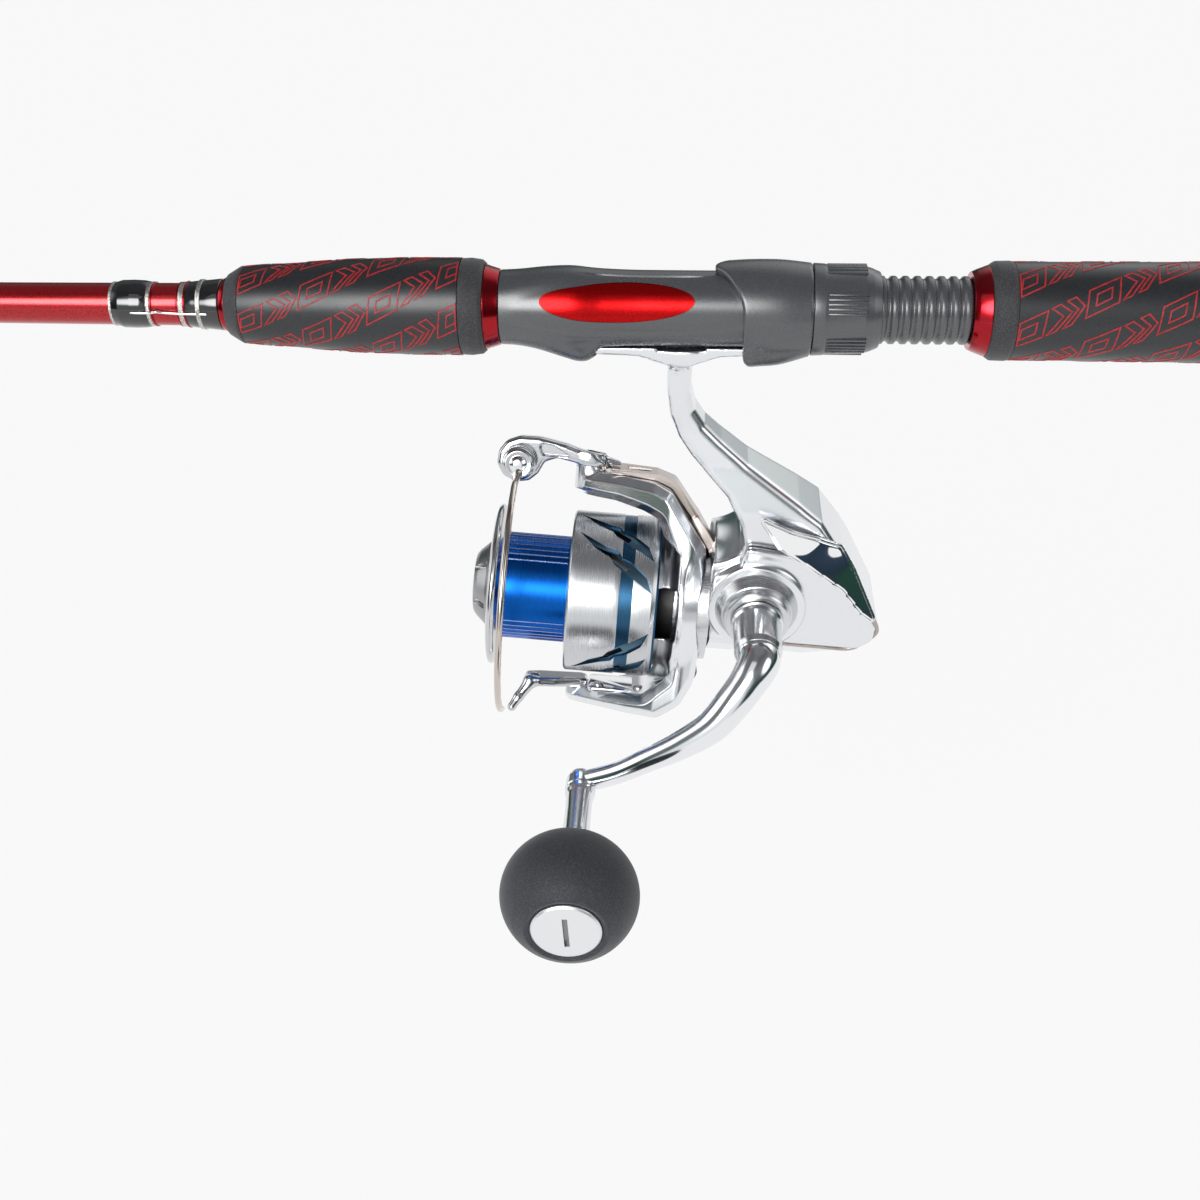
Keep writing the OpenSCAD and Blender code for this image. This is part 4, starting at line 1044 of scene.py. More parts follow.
def body():
    """Cast housing: foot, swept stem, gear case and the collar behind the rotor."""
    f = Field((-34, -17.5, -18.5), (70, 19.5, 100.5), 0.5)
    side = f.prism(BODY_SIDE, -15, 17)
    section = f.prism(BODY_SECTION, -14, 70, 'x')
    f.add(soft_max(side, section, 3.2))
    neck = soft_max(f.disc((0, 4), 25, 10.2, 19.5, 'x'), section, 1.5)
    f.add(neck, 4.0)
    f.cut(-f.block((-40, -15, -16.5), (80, 25, 120)), 1.2)
    f.add(f.disc((AXLE[0], AXLE[1]), 13, 10, 18.8), 1.5)
    # the foot lies along the rod, so it is drawn in the rod's own directions
    c, s = math.cos(TILT), math.sin(TILT)
    u = f.x * c + f.z * s + f.y * 0
    w = -f.x * s + f.z * c - DROP + f.y * 0
    v = f.y + u * 0
    reach = np.abs(u + 0.5)
    under = -12.4 - 2.2 * ease((14 - reach) / 10) - 0.9 * ease((30 - reach) / 30)
    wide = 7.5 - 2.2 * ease((reach - 24) / 8)
    foot = np.maximum(np.maximum(w + 9.9, under - w), np.maximum(np.abs(v) - wide, reach - 30.6))
    f.add(foot * 0.9 + 0.15, 2.6)
    recess = np.maximum(np.maximum(-10.9 - w, w + 8), np.maximum(np.abs(u) - 7.4, 3.2 - np.abs(v)))
    f.cut(recess, 0.6)
    f.cut(np.minimum(-(w + 9.8), 50), 0.3)
    # the rotor's cup runs inside the collar
    f.cut(f.disc((0, 0), 19.6, 7, 11, 'x'), 0.0)
    f.cut(f.disc((0, 0), 12.5, 8, 13, 'x'), 0.8)
    f.cut(f.y - plate_level(f.x, f.z) - 0.9, 0.0)
    shape = polish(f.shape(), f)
    piece("reel_body", shape, "rod", sharp=75)
    seal = lathe_x([(18, 4.6), (20.2, 4.6, 0.3), (20.2, 10.4), (18, 10.4)], 160)
    # the web across the mouth of the collar's hollow is painted near-black as painted shade
    painted_shade_web = sleeve(4.1, 18.4, 6.8, 7.6)
    piece("neck_seal", seal + painted_shade_web.tag(1), "rod", ["boss_silver", "painted_shade_black"], slot="body_silver", sharp=30)


SCREWS = [(40, 33), (57, 8), (47.5, 0)]
COVER = [(10.4, -12, 2), (14.5, -16, 3), (46, -16, 4), (66, 1.2, 3), (66.4, 6.6, 3), (56, 24.6),
         (50.5, 31, 6), (24, 34, 4), (19.4, 34, 2), (18.6, 27, 2), (10.4, 22, 3)]
MIRROR = [(22.6, 46.5, 0.6), (50.2, 35.5, 3), (56, 27, 3), (65.6, 9.6, 0.5), (60, 13.4, 2), (53, 21.5, 3),
          (38, 31.5, 4), (30, 36, 3)]


def cover():
    """Side cover of the case, with the turned boss around the handle's axle."""
    f = Field((8, -20, -18.5), (69.5, -13.5, 36), 0.4)
    side = f.prism(COVER, -30, 0)
    slab = np.maximum(-18.0 - f.y, f.y + 15.07)
    # its lower edge is cut away towards the case, and the boss grows out of it
    chamfer = -(0.688 * (f.y + 18) + 0.725 * (f.z + 2))
    f.add(soft_max(soft_max(side, slab, 1.8), chamfer, 1.2))
    f.add(f.disc(AXLE, 15.6, -19.4, -15.1), 3.5)
    f.cut(f.prism([(9, 40), (24, 40), (19, 32), (9, 26)], -30, 0), 1.0)
    f.cut(f.y - plate_level(f.x, f.z) - 0.9, 0.0)
    shape = polish(f.shape(), f, 2)
    boss = lathe_y([(8, -15.2), (15.6, -15.2, 0.2), (15.2, -17.4, 0.5), (14.3, -18.6, 0.3),
                    (12.1, -22.6, 0.4), (11.6, -23.5, 0.3), (11.2, -23.7, 0.2), (11.0, -26.2, 0.5),
                    (10.2, -27, 0.4), (8.4, -27, 0.4), (8.0, -26.4)], 128).move(AXLE[0], 0, AXLE[1])
    piece("side_cover", shape, "rod", sharp=50)
    piece("side_cover_boss", boss, "rod", "boss_silver", slot="body_silver", sharp=30)


def plate_level(x, z):
    """Height of the mirror plate's face: flat at the stem, leaning back towards the rear."""
    across = (x - 57) * 0.64 + (z - 17.5) * 0.76
    along = (x - 22.6) * 0.76 - (z - 46.5) * 0.64
    return -19.2 + (0.06 + 0.4 * ease((along - 10) / 12) + 0.14 * ease((along - 22) / 14)) * (across + 0.5)


def mirror_plate():
    """Bright rear plate, twisted as it follows the case, with a thin champagne edging round it."""
    layers = (("rear_plate", "mirror_chrome", "mirror_chrome", 0, 0, ["rear_plate"]),
              ("rear_plate_edging", "champagne", "polished", 0.8, 0.45, []))
    for name, slot, paint, out, lift, nodes in layers:
        f = Field((20, -21, 7), (69, -11.5, 50), 0.4)
        level = plate_level(f.x, f.z) + lift
        band = np.maximum(level - f.y, f.y - level - 1.3 + lift)
        f.add(soft_max(f.prism(MIRROR, -60, 60) - out, band * 0.93, 0.5))
        piece(name, polish(f.shape(), f, 2), "rod", paint, slot=slot, sharp=40)
    edge = [(30, -17.0, -3.0), (48, -17.0, -3.0), (58.5, -16.9, -2.9), (63.6, -16.4, 0.2),
            (66.6, -16.2, 3.6), (66.6, -16.4, 6.4), (64.6, -17.2, 10.6)]
    piece("case_edging", tube(smooth_path(edge, 8), 0.75, 12), "rod", "champagne", slot="champagne")


def cross_slot(head, bar, axis):
    """A screw's head with two slots at right angles sunk into it."""
    return carved(head, [bar, bar.turn(90, axis)])


def case_details():
    """Screws and axle cap on the far side of the case."""
    screws = []
    for x, z in SCREWS:
        head = lathe_y([(0, 9.5), (0.8, 9.5), (0.8, 16), (1.95, 16, 0.1), (1.95, 17.4, 0.3),
                        (1.5, 17.7, 0.3), (0, 17.7)], 40)
        head = cross_slot(head, box((-1.4, 17.2, -0.25), (1.4, 18.5, 0.25), 0), 'Y')
        screws.append(head.move(x, 0, z))
    piece("body_screws", total(screws), "rod", "polished")
    cap = lathe_y([(0, 16.3), (4.9, 16.3), (4.9, 19.1), (11, 19.1, 0.3), (10.7, 21.4, 0.8), (9.6, 22.4, 0.4),
                   (7.5, 22.4, 0.2), (6.9, 21.6, 0.3), (0, 21.6)], 96)
    grips_cut = around(12, box((-0.7, 21.8, 8), (0.7, 25, 12), 0.1), 'Y')
    piece("axle_cap", carve(cap, grips_cut).move(AXLE[0], 0, AXLE[1]), "rod", "boss_silver")


# ---------------------------------------------------------------- handle
def handle():
    """Collar on the axle, the bent arm, and the stem that the knob turns on."""
    x, z = AXLE
    collar = lathe_y([(0, -10), (2.95, -10), (2.95, -27.3), (8.1, -27.3, 0.3), (8.6, -27.8, 0.3),
                      (8.6, -29.4, 0.3), (8.2, -29.9, 0.2), (7.9, -30.3, 0.2), (7.7, -43.6, 0.5),
                      (6.8, -45.6, 0.3), (0, -45.6)], 128).move(x, 0, z)
    piece("handle_collar", collar, "handle", "polished_lines", slot="body_silver")
    points = [(x, -45.4, z), (x, -48.0, z - 0.8), (x - 2.2, -52, z - 4.0), (x - 6.4, -56, z - 10.0),
              (12.6, -59.4, -6.6), (3.2, -60.8, -14.6), (-6.6, -60.6, -22.0), (-15.6, -59.2, -29.6),
              (KNOB[0] + 3, -57.2, KNOB[2] + 2.2), (KNOB[0] + 1.2, -56.8, KNOB[2] + 0.8)]
    path = smooth_path(points, 12)

    def thick(t):
        return 7.0 - 1.0 * float(ease(t / 0.16)) - 2.35 * float(ease((t - 0.1) / 0.75))

    arm = tube(path, thick, 48)
    shade_ring = lathe_y([(0, -45.4), (7.0, -45.4, 0.3), (7.15, -46.2, 0.3), (6.6, -47.3), (0, -47.3)], 96)
    shape = arm + shade_ring.move(x, 0, z)
    piece("handle_arm", shape, "handle", "polished", slot="body_silver", sharp=60)
    stem = lathe_y([(0, -52.6), (2.6, -52.8, 1.2), (4.5, -54.2, 1.6), (5.05, -56.4, 1), (5.05, -60.2, 0.3),
                    (4.75, -60.6, 0.1), (4.75, -62, 0.1), (4.95, -62.4, 0.2), (4.5, -63.8, 0.4),
                    (4.3, -70, 4), (4.4, -84.5), (4.7, -86.8, 0.2), (3, -86.8), (3, -117.6), (0, -117.6)],
                   96)
    piece("knob_stem", stem.move(KNOB[0], 0, KNOB[2]), "handle", "polished_lines", slot="steel")


def knob():
    """Foam ball with a slotted cap."""
    r, h = 21.4, 19.25
    start, end = -40, 70
    arc = [(r * math.cos(math.radians(a)), h * math.sin(math.radians(a)))
           for a in np.linspace(start, end, 60)]
    outline = [(11.05, -12.7), (11.05, -14.0, 0.3)]
    outline += [(12.6, -14.9, 0.8)] + [p for p in arc if p[1] > -14.4]
    outline += [(6.4, 18.4, 0.5), (3.05, 18.2), (3.05, -12.7)]
    ball = lathe_y(outline, 128).move(*KNOB)
    piece("knob", ball, "knob", sharp=40)
    cap = lathe_y([(0, -12.7), (10.85, -12.7), (10.85, -14.6, 0.5), (10.1, -15.2, 0.5), (0, -15.4)], 96)
    # the faces of the slot cut into the cap are painted a darker grey as painted shade
    slot_cut = box((-5.8, -17, -0.8), (5.8, -14.0, 0.8), 0.1).turn(-97, 'Y')
    piece("knob_cap", carve(cap, slot_cut.tag(1)).move(*KNOB), "knob", ["cap_silver", "cap_slot_painted_shade"])


# ---------------------------------------------------------------- rotor
ROTOR_SIDE = [(-38, 42.6), (-24, 42.6), (-11.2, 41.6), (-5.7, 39.4), (3.1, 27), (8.1, 20.3), (9.2, 14),
              (9.2, -12), (8.4, -23), (3.5, -32.4), (-4.2, -38.3), (-15.6, -39.1), (-38, -38.9),
              (-38, -33.2), (-23, -33.2), (-10.3, -31.5), (-2.7, -24), (-1.5, -14), (-1.5, 12), (-7.1, 24.8),
              (-9.5, 30), (-14.4, 31.9), (-24, 33.8), (-38, 34.4)]
ROTOR_HALF = [(9.6, -18), (2, -22.5), (-6, -20.5), (-19, -13.5), (-33, -6.8), (-36.5, -4.6), (-38, -2)]
ROTOR_PLAN = ROTOR_HALF + [(x, -y) for x, y in ROTOR_HALF[::-1]]


def rotor():
    """Cup with two arms; the upper arm carries the bail and the lower one the lever."""
    f = Field((-40, -29, -41.5), (11.5, 29, 45), 0.45)
    side = f.prism([(x, z, 3.0) for x, z in ROTOR_SIDE], -30, 30)
    plan = flat_distance(np.array(rounded([(x, y, 4) for x, y in ROTOR_PLAN], 3)), f.x, f.y)
    f.add(chamfer_max(side, plan + f.z * 0, 2.8), 0.0)
    f.add(f.disc((HINGE_X, 0), 4.9, 36, 44.2, 'z'), 1.2)
    f.cut(f.block((-25.5, -3.6, 39.2), (-9, 3.6, 50), 0.8), 0.4)
    rho = np.hypot(f.y, f.z)
    f.cut(np.maximum(rho - 28.7, f.x + 1.5), 1.2)
    # round back: a conical rim that flares up out of the drum
    back = chamfer_max(np.maximum(rho - 27.2, (rho + f.x - 28.4) * 0.707), np.maximum(-1.6 - f.x, f.x - 8.6),
                       1.0)
    f.add(back, 2.5)
    flare = (rho - 23.4 - 3.6 * ease((f.x + 4.6) / 6)) * 0.8
    f.add(np.maximum(np.maximum(flare, 21.6 - rho), np.maximum(-6.4 - f.x, f.x - 1)), 0.6)
    f.cut(np.maximum(f.block((-9, -40, -9.5), (-0.7, 40, 8.0), 1.6), 17.2 - rho), 0.3)
    f.cut(f.disc((0, 0), 4.02, -5, 12, 'x'), 0.0)
    f.cut(f.disc((0, 0), 21.8, 3.6, 14, 'x'), 0.6)
    shape = polish(f.shape(), f)
    # the inside of the cup and the drum that runs in the skirt are painted a darker silver as painted shade;
    # the core that shows through the drum's windows is painted near-black as painted shade
    middles = shape.verts[np.array(shape.faces)].mean(1)
    inside = (np.hypot(middles[:, 1], middles[:, 2]) < 26.6) & (middles[:, 0] < 0.4)
    shape.tags = [2 * int(t) for t in inside]
    drum = lathe_x([(21.6, -6.2), (22.6, -8), (22.6, -24), (24.2, -24, 0.4), (24.2, -8, 0.5), (23.4, -6.2)],
                   160)
    drum = carve(drum, box((-13.5, -30, -9.5), (-5, 30, 8.0), 1.2))
    core = lathe_x([(4.02, -9), (15.5, -9, 0.8), (16.5, 0.9), (4.02, 0.9)], 96).tag(1)
    hub = lathe_x([(4.02, -11.6), (9, -11.6, 0.6), (9.6, -9), (4.02, -9)], 64)
    piece("rotor", shape + drum.tag(2) + core + hub, "rotor", ["body_silver", "painted_shade_black", "rotor_inside_painted_shade"],
          at=TURNED, sharp=50)


def rotor_details():
    """Covers, plate, nut and screws of the rotor, and the bail's spring."""
    strip = [(-27, 43.1, 0.3), (-26, 42.75), (-11.1, 41.8, 1), (-5.5, 39.6, 2), (1.6, 29.6),
             (3.6, 28.2, 0.6), (5.2, 29.8, 1.5), (-4.0, 41.6, 3), (-10.6, 43.8, 2), (-26.5, 44.6, 0.5)]
    shape = plate(strip, -8.6, 8.6, 0.7).at(TO_SIDE)
    shape = carve(shape, box((-21, -3.4, 43.2), (-13, 3.4, 50), 0.4))
    piece("arm_cover", shape, "rotor", at=TURNED, sharp=35)
    wedge = plate([(1.6, 29.8, 0.5), (4.2, 31.2, 0.6), (10.0, 22.6, 1.0), (9.6, 14.5, 0.5), (8.4, 20.2, 1)],
                  -10.5, 10.5, 0.5).at(TO_SIDE)
    piece("arm_cover_wedge", wedge, "rotor", "champagne", slot="champagne", at=TURNED, sharp=35)
    sliver = plate([(8.8, -22.4, 0.2), (8.3, -24.6, 1), (3.4, -33, 1.5), (-3.6, -38.9, 1), (-8, -39.5, 0.2),
                    (-3.8, -37.8), (3.0, -32), (7.8, -23.6)], -9.5, 9.5, 0.25).at(TO_SIDE)
    piece("arm_sliver", sliver, "rotor", "champagne", slot="champagne", at=TURNED, sharp=35)
    corners = [(6.9 * math.cos(math.radians(60 * i)), 6.9 * math.sin(math.radians(60 * i)), 0.3)
               for i in range(6)]
    nut_ring = plate(corners, -7.4, -4.1, 0.35).at(ALONG_X)
    bore = sleeve(0, 4.02, -9, -3, sides=64)
    piece("rotor_nut", carve(nut_ring, bore), "rotor", at=TURNED)
    flat = plate([(-28.6, -10, 2), (-8.6, -10, 1), (-8.6, 8, 1), (-28.6, 8, 2)], -33.1, -31.9, 0.25)
    rim = sleeve(20, 28.8, -45, 0, sides=160)
    piece("arm_plate", carve(flat, rim), "rotor", "polished", slot="steel", at=TURNED)
    screws = []
    for x in (-25, -11):
        head = lathe([(0, -4.6), (0.8, -4.6), (0.8, 0), (1.9, 0, 0.1), (1.9, 0.6, 0.3), (1.3, 1, 0.2),
                      (0, 1)], 40)
        head = cross_slot(head, box((-1.1, -0.2, 0.5), (1.1, 0.2, 2), 0), 'Z')
        screws.append(head.move(x, -6, -31.8))
    piece("rotor_screws", total(screws), "rotor", at=TURNED)
    coil = [(1.15 * 11 * (t - 0.5), 2.0 * math.cos(22 * math.pi * t), 2.0 * math.sin(22 * math.pi * t))
            for t in np.linspace(0, 1, 220)]
    spring = tube(coil, 0.32, 8).move(-17, 0, 39.1)
    piece("bail_spring", spring, "rotor", "polished", at=TURNED)


# ---------------------------------------------------------------- bail
def bail():
    """Bail arm with its line roller, the wire, and the lever on the other side."""
    f = Field((-67, -6.6, 35.5), (-21.5, 5.6, 54), 0.22)
    outline = [(-28.6, 44.5, 0.5), (-29.2, 47, 1), (-35, 48.8, 6), (-42, 51, 8), (-51, 52.6, 6),
               (-58, 52.5, 5), (-62.5, 50.6, 4), (-65, 47, 3), (-65.4, 42.6, 3), (-63, 38.6, 3),
               (-58.5, 36.6, 3), (-54, 37.4, 2.5), (-51, 40.2, 2), (-49, 44.2, 2), (-45, 45.8, 3),
               (-38, 44.5, 3)]
    f.add(soft_max(f.prism(outline, -30, 30), np.maximum(-5 - f.y, f.y - 1.5), 2.0))
    hinge = np.maximum(np.hypot(f.x - HINGE_X, f.y) - 5, np.maximum(44.5 - f.z, f.z - 48.4))
    f.add(hinge, 1.6)
    f.add(np.maximum(f.rod((HINGE_X, 0, 46.4), (-24.6, 0, 45.2), 2.4, 1.3), 44.9 - f.z), 1.4)
    f.cut(f.prism([(-40.5, 46.6, 0.3), (-50, 46.6, 1.2), (-51.6, 50.8, 1.2), (-46, 50.0, 2)], -9, -2.6), 0.5)
    shape = polish(f.shape(), f, 2)
    # a thin sheet on the floor of the arm's pocket, painted near-black as painted shade
    painted_shade_sheet = plate([(-41.4, 46.9, 0.3), (-49.6, 46.9, 1.0), (-51.0, 50.4, 1.0), (-46, 49.6, 1)], -2.75,
                   -2.45, 0)
    piece("bail_arm_hollow", painted_shade_sheet.at(TO_SIDE), "bail", "painted_shade_black", slot="washer_dark", at=TURNED)
    pin = lathe([(0, 37), (2, 37, 0.3), (2, 44.8), (0, 44.8)], 48).move(HINGE_X)
    piece("bail_arm", shape + pin, "bail", "arm_bright", at=TURNED, sharp=60)
    cap_pin = lathe([(0, 46), (2.7, 46), (2.7, 48.6, 0.5), (2.1, 49.1, 0.4), (0, 49.1)], 40).turn(-16, 'Y')
    piece("bail_pivot_cap", cap_pin.move(HINGE_X + 17.2, 0, -1.2),
          "bail", "champagne", slot="champagne", at=TURNED)

    x, z = ROLLER
    disc = lathe_y([(0, -9.7), (5.1, -9.7, 0.2), (5.7, -10.3, 0.5), (5.5, -11.9, 0.8), (4.4, -12.9, 0.6),
                    (3.2, -12.7, 0.2), (0, -12.4)], 96).move(x, 0, z)
    screw = lathe_y([(0, 1.4), (1.5, 1.4), (1.5, -5.2), (1.6, -5.2), (1.6, -9.6), (1.5, -9.6), (1.5, -12.4),
                     (2.9, -12.4, 0.2), (2.9, -13.3, 0.5), (1.6, -14.1, 0.8), (0, -14.3)], 64).move(x, 0, z)
    roller = lathe_y([(1.68, -9.4), (5.2, -9.4, 0.2), (5.2, -8.8, 0.3), (4.2, -7.9, 0.6), (4.2, -7, 0.6),
                      (5.2, -5.9, 0.3), (5.2, -5.3, 0.2), (1.68, -5.3)], 96).move(x, 0, z)
    piece("roller_screw", screw, "bail", "polished", at=TURNED)
    piece("line_roller", roller, "roller", "polished", slot="steel", at=TURNED)
    ring, middle = RING
    arc = [(x, middle + ring * math.sin(math.radians(a)), ring * math.cos(math.radians(a)))
           for a in np.linspace(-24, -169, 40)]
    lead = [(x + 0.3, -11.9, z + 0.5), (x + 0.2, -14.2, z - 3.2)]
    path = smooth_path(lead + arc, 4)
    wire = tube(path, lambda t: 1.15 * (0.95 + 0.25 * math.exp(-t * 18)), 20)
    piece("bail_wire", disc + wire.tag(1), "bail", ["arm_bright", "wire_warm"], slot="body_silver",
          at=TURNED, sharp=45)

    f = Field((-58, -14.2, -44), (-27, 6, -29), 0.25)
    flat = [(-29, -3, 1), (-31, -4.8, 2), (-40, -7.5, 3), (-50, -9.5, 2), (-51, -7, 1), (-51, 1, 2),
            (-46, 3, 2), (-38, 4, 3), (-31, 4.8, 2), (-29, 3, 1)]
    f.add(soft_max(f.prism(flat, -60, 60, 'z'), np.maximum(-33.6 - f.z, f.z + 30.5), 1.2))
    hook = f.rod((-48.5, -7.5, -32.2), (-52.2, -9.6, -37.5), 2.2, 1.7)
    f.add(hook, 1.5)
    f.add(f.rod((-52.2, -9.6, -37.5), (-54.2, -11.0, -40.8), 1.7, 1.5), 0.8)
    shape = polish(f.shape(), f, 2)
    pin = lathe([(0, -36.6), (2, -36.6, 0.3), (2, -31), (0, -31)], 40).move(HINGE_X)
    head = lathe([(0, -30.8), (1.9, -30.8), (1.9, -30.3, 0.2), (1.4, -30.0, 0.2), (0, -30.0)], 40)
    # the slot cut into the pin's head is painted near-black as painted shade
    head = carve(head, box((-1.2, -0.3, -30.4), (1.2, 0.3, -29), 0).tag(1)).move(-47.5, -4, 0)
    piece("bail_lever", shape + pin + head, "bail", ["arm_bright", "painted_shade_black"], at=TURNED, sharp=60)


# ---------------------------------------------------------------- spool
def spool():
    """Brushed skirt with leaf-shaped openings over a blue liner, on the spool's core."""
    s = 27.75                # radius of the skirt
    xs = list(np.arange(-36.9, -20.5, 2.05))
    outer = [(26.95, -37.5), (s - 0.7, -37.6, 0.5), (s, -36.9, 0.4)] + [(s, float(x)) for x in xs[1:]]
    outer += [(s, -20.4, 0.1), (s - 0.45, -20.3), (s - 0.45, -16.1), (s, -16.0, 0.1), (s, -12.8),
              (s, -9.6, 0.5), (s - 0.5, -8.1, 0.4), (26.95, -8)]
    shell = lathe_x(outer, 256)
    wide, narrow = [], []
    for centre in (68, 248):
        for off, way in ((-36, 1), (-59, 1), (36, -1), (59, -1)):
            long_leaf = [(-35.2, way * 10.4), (-29, way * 3.4), (-24.2, way * 0.8), (-22.6, -way * 1.8),
                         (-18.5, -way * 4.6), (-9.6, -way * 10.4), (-11.8, -way * 5.0), (-17.2, -way * 0.2),
                         (-20.4, way * 1.2), (-21.6, way * 3.2), (-25.6, way * 4.6)]
            wide.append(plate(long_leaf, 20, 32, 0).turn(centre + off))
            slit = [(-30.4, way * 5.4), (-25.4, way * 1.7), (-21.6, -way * 1.2), (-18.6, -way * 3.4),
                    (-17.6, -way * 1.8), (-20.8, way * 0.6), (-22.4, way * 2.2), (-25.8, way * 3.4)]
            narrow.append(plate(slit, 20, 32, 0).turn(centre + off))
    shell = carved(shell, [leaf.tag(1) for leaf in wide])
    middle = [(26.93, float(x)) for x in np.arange(-34, -9, 2.5)]
    inner = lathe_x([(26.25, -36.9), (26.93, -36.9)] + middle + [(26.93, -8.3), (26.25, -8.3)], 256)
    inner = carved(inner, narrow)
    core = lathe_x([(1.85, -58), (6, -58), (6, -52), (16.4, -52), (16.4, -49.5), (6, -49.5), (6, -37),
                    (18.4, -37), (18.6, -37.6), (26.9, -37.6, 0.3), (26.9, -36.6), (24, -36.2), (20, -34.6),
                    (12, -33.2), (6, -31), (1.85, -31)], 128)
    piece("spool", shell + core, "spool", ["spool_silver", "bevel_blue"], sharp=30)
    piece("spool_liner", inner, "spool", "bevel_blue", slot="spool_silver", sharp=30)
    groove = sleeve(26.9, 27.42, -20.45, -15.95, sides=256)
    piece("spool_ring", carved(groove, wide), "spool", "ring_blue", slot="spool_silver", sharp=30)
    rim = lathe_x([(26.3, -8.3), (27.3, -8.3), (27.3, -7.5, 0.3), (26.3, -7.5, 0.3)], 160)
    piece("spool_rear_band", rim, "spool", "ring_blue", slot="spool_silver")


def fluted(x, a):
    """Arbor skin with fine lengthwise ribs in two bands and plain blue between."""
    turn = np.degrees(np.arctan2(np.sin(a), -np.cos(a)))          # 0 faces -Y, 90 is up
    from_plain = np.minimum(np.abs((turn - 28 + 180) % 360 - 180), np.abs((turn - 208 + 180) % 360 - 180))
    ribbed = ease((from_plain - 31) / 2)
    rib = np.exp(-((((turn - 3.5) % 7) - 3.5) / 0.8) ** 2)
    return 18.28 + 0.17 * rib * ribbed - 0.05 * ribbed


def spool_furniture():
    """Arbor, front lip, drag washers and drag knob."""
    arbor = closed_skin(fluted, [-59.9, -59, -52, -45, -38.6, -37.65], 16.45, 720)
    centres = [arbor.verts[list(face)].mean(0) for face in arbor.faces]
    arbor.tags = [int(math.hypot(c[1], c[2]) > 18.31) for c in centres]
    ends = total(sleeve(16.5, 18.45, x, x + 0.9, 0.2, 160) for x in (-60.0, -38.5))
    piece("spool_arbor", arbor + ends, "spool", ["arbor_blue", "arbor_rib"], sharp=20)
    lip = lathe_x([(15.6, -60), (18.5, -60, 0.3), (24, -60.4, 6), (27.0, -61.3, 1.5), (28, -62.4, 0.7),
                   (27.5, -63.5, 0.6), (26.2, -64.0, 0.4), (25.4, -63.9, 0.3), (22.5, -64.5, 1),
                   (19.4, -64.3, 1), (16.4, -63.0, 0.5), (15.6, -62.4)], 160)
    piece("spool_lip", lip, "spool", "lip_silver", sharp=25)
    washers = total(sleeve(6.1, 14.6 - 0.4 * (i % 2), -59.6 + i * 1.9, -58.1 + i * 1.9, 0.2, 72)
                    for i in range(4))
    piece("drag_washers", washers, "spool")
    drag = lathe_x([(1.85, -60.2), (5.4, -60.2), (5.4, -62.9), (15.2, -62.9, 0.3), (15.2, -64.4, 0.6),
                    (14.4, -66, 0.8), (11.6, -69.0, 1.5), (10.2, -70.1, 0.6), (9, -70.4, 0.5), (0, -70.4),
                    (0, -68.6), (1.85, -68.6)], 128)
    drag = carve(drag, around(6, box((-72, 9.9, -1.1), (-65.9, 16, 1.1), 0.3)))
    piece("drag_knob", drag, "drag", sharp=30)


# ---------------------------------------------------------------- stage and light
def stage():
    """A plain pale sweep far below the object; it glows softly, so no shadow or corner shows."""
    m = Surface("backdrop", (0.12, 0.12, 0.12), 0.9, spec=0.0)
    m.bsdf.inputs["Emission Color"].default_value = (1, 1, 1, 1)
    m.bsdf.inputs["Emission Strength"].default_value = 0.85
    m.bump(m.noise(4, 2), 0.02, 0.001)
    mesh = bpy.data.meshes.new("floor")
    z = cad_box[0][2] - 0.45
    mesh.from_pydata([(-4, -4, z), (4, -4, z), (4, 4, z), (-4, 4, z)], [], [(0, 1, 2, 3)])
    mesh.materials.append(m.mat)
    floor = bpy.data.objects.new("floor", mesh)
    bpy.context.collection.objects.link(floor)


def lamp(name, place, wide, tall):
    """A soft lamp that points at the reel."""
    data = bpy.data.lights.new(name, 'AREA')
    data.energy = 0.7
    data.shape = 'RECTANGLE'
    data.size = wide
    data.size_y = tall
    obj = bpy.data.objects.new(name, data)
    bpy.context.collection.objects.link(obj)
    obj.location = place
    aim = Vector((STATION * 0.001, 0, -0.08)) - Vector(place)
    obj.rotation_euler = aim.to_track_quat('-Z', 'Y').to_euler()


# softboxes: direction from the object, half angles of the bright middle and of the faded rim, brightness
SOFTBOXES = [
    ((-0.25, -0.78, 0.5), 8, 20, 10),
    ((-0.2, -0.97, 0.1), 20, 38, 0.8),
    ((0.8, -0.45, 0.45), 7, 20, 1.6),
    ((-0.95, 0.0, 0.3), 10, 26, 1.8),
    ((0.0, 0.1, 1.0), 12, 32, 0.1),
    ((0.45, 0.75, 0.5), 14, 40, 0.8),
]
# brightness of the room by height: -1 straight down, 0 the horizon, 1 straight up
ROOM = [(-1.0, (0.9, 0.9, 0.91)), (-0.14, (0.85, 0.85, 0.86)), (-0.09, (0.03, 0.05, 0.085)),
        (0.02, (0.02, 0.035, 0.05)), (0.12, (0.02, 0.07, 0.035)), (0.3, (0.12, 0.14, 0.14)),
        (0.6, (0.2, 0.21, 0.22)), (1.0, (0.08, 0.08, 0.09))]


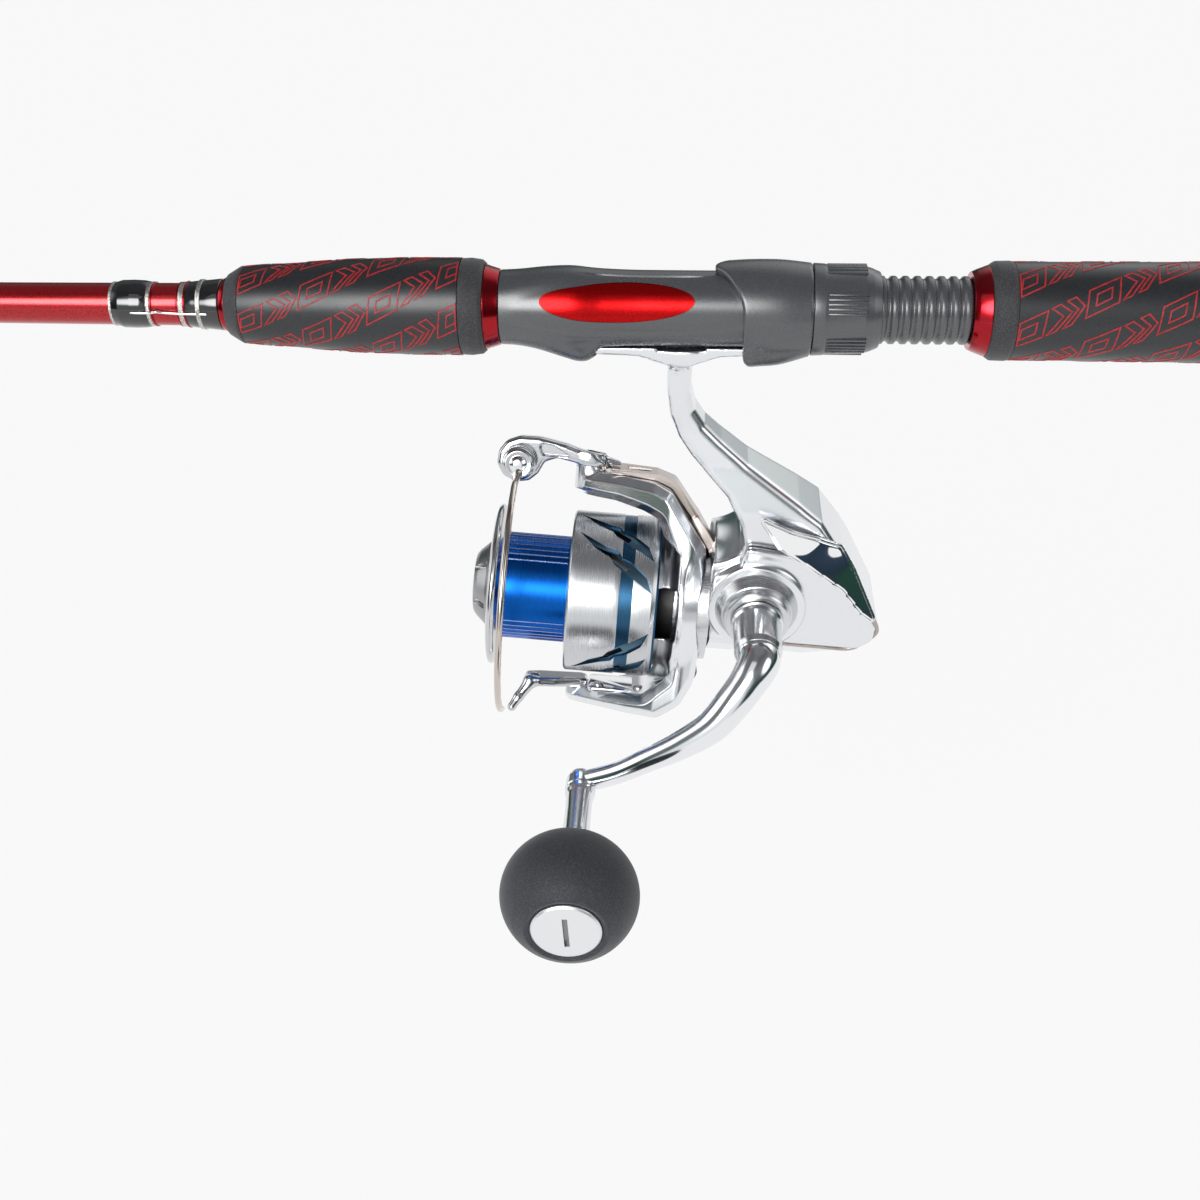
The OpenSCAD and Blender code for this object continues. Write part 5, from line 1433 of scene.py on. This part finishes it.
def world():
    """A dim room with soft lights in it, for the metal to mirror; the camera itself sees plain white."""
    made = bpy.data.worlds.new("studio")
    bpy.context.scene.world = made
    made.use_nodes = True
    t = made.node_tree
    way_out = t.nodes.new("ShaderNodeTexCoord").outputs["Generated"]
    split = new_node(t, "SeparateXYZ", {}, way_out, 0)
    height = new_node(t, "MapRange", {"From Min": -1}, split.outputs["Z"], "Value")
    ramp = new_node(t, "ValToRGB", {}, height.outputs["Result"], "Fac")
    stops = ramp.color_ramp.elements
    stops[0].color = (*ROOM[0][1], 1)
    stops[1].color = (*ROOM[-1][1], 1)
    for at, color in ROOM[1:-1]:
        stops.new((at + 1) / 2).color = (*color, 1)
    light = ramp.outputs["Color"]
    for way, middle, rim, bright in SOFTBOXES:
        dot = new_node(t, "VectorMath", {1: Vector(way).normalized()}, way_out, 0)
        dot.operation = 'DOT_PRODUCT'
        values = {"From Min": math.cos(math.radians(rim)), "From Max": math.cos(math.radians(middle)),
                  "To Max": bright}
        fade = new_node(t, "MapRange", values, dot.outputs["Value"], "Value")
        fade.interpolation_type = 'SMOOTHSTEP'
        lit = new_node(t, "VectorMath", {}, light, 0)
        t.links.new(fade.outputs["Result"], lit.inputs[1])
        light = lit.outputs[0]
    room = t.nodes["Background"]
    t.links.new(light, room.inputs["Color"])
    plain = t.nodes.new("ShaderNodeBackground")
    plain.inputs["Color"].default_value = (0.955, 0.955, 0.955, 1)
    eye = t.nodes.new("ShaderNodeLightPath")
    either = t.nodes.new("ShaderNodeMixShader")
    t.links.new(eye.outputs["Is Camera Ray"], either.inputs[0])
    t.links.new(room.outputs[0], either.inputs[1])
    t.links.new(plain.outputs[0], either.inputs[2])
    t.links.new(either.outputs[0], t.nodes["World Output"].inputs["Surface"])


stage()
lamp("key", (-0.75, -0.75, 1.1), 0.7, 0.5)
lamp("rim", (0.35, 0.9, 0.55), 0.9, 0.35)
world()
bpy.context.scene.view_settings.view_transform = 'Standard'

for make in (blank, guide_furniture, keeper, handle_rings, grips, seat, hood, nut,
             body, cover, mirror_plate, case_details, handle, knob,
             rotor, rotor_details, bail, spool, spool_furniture):
    make()
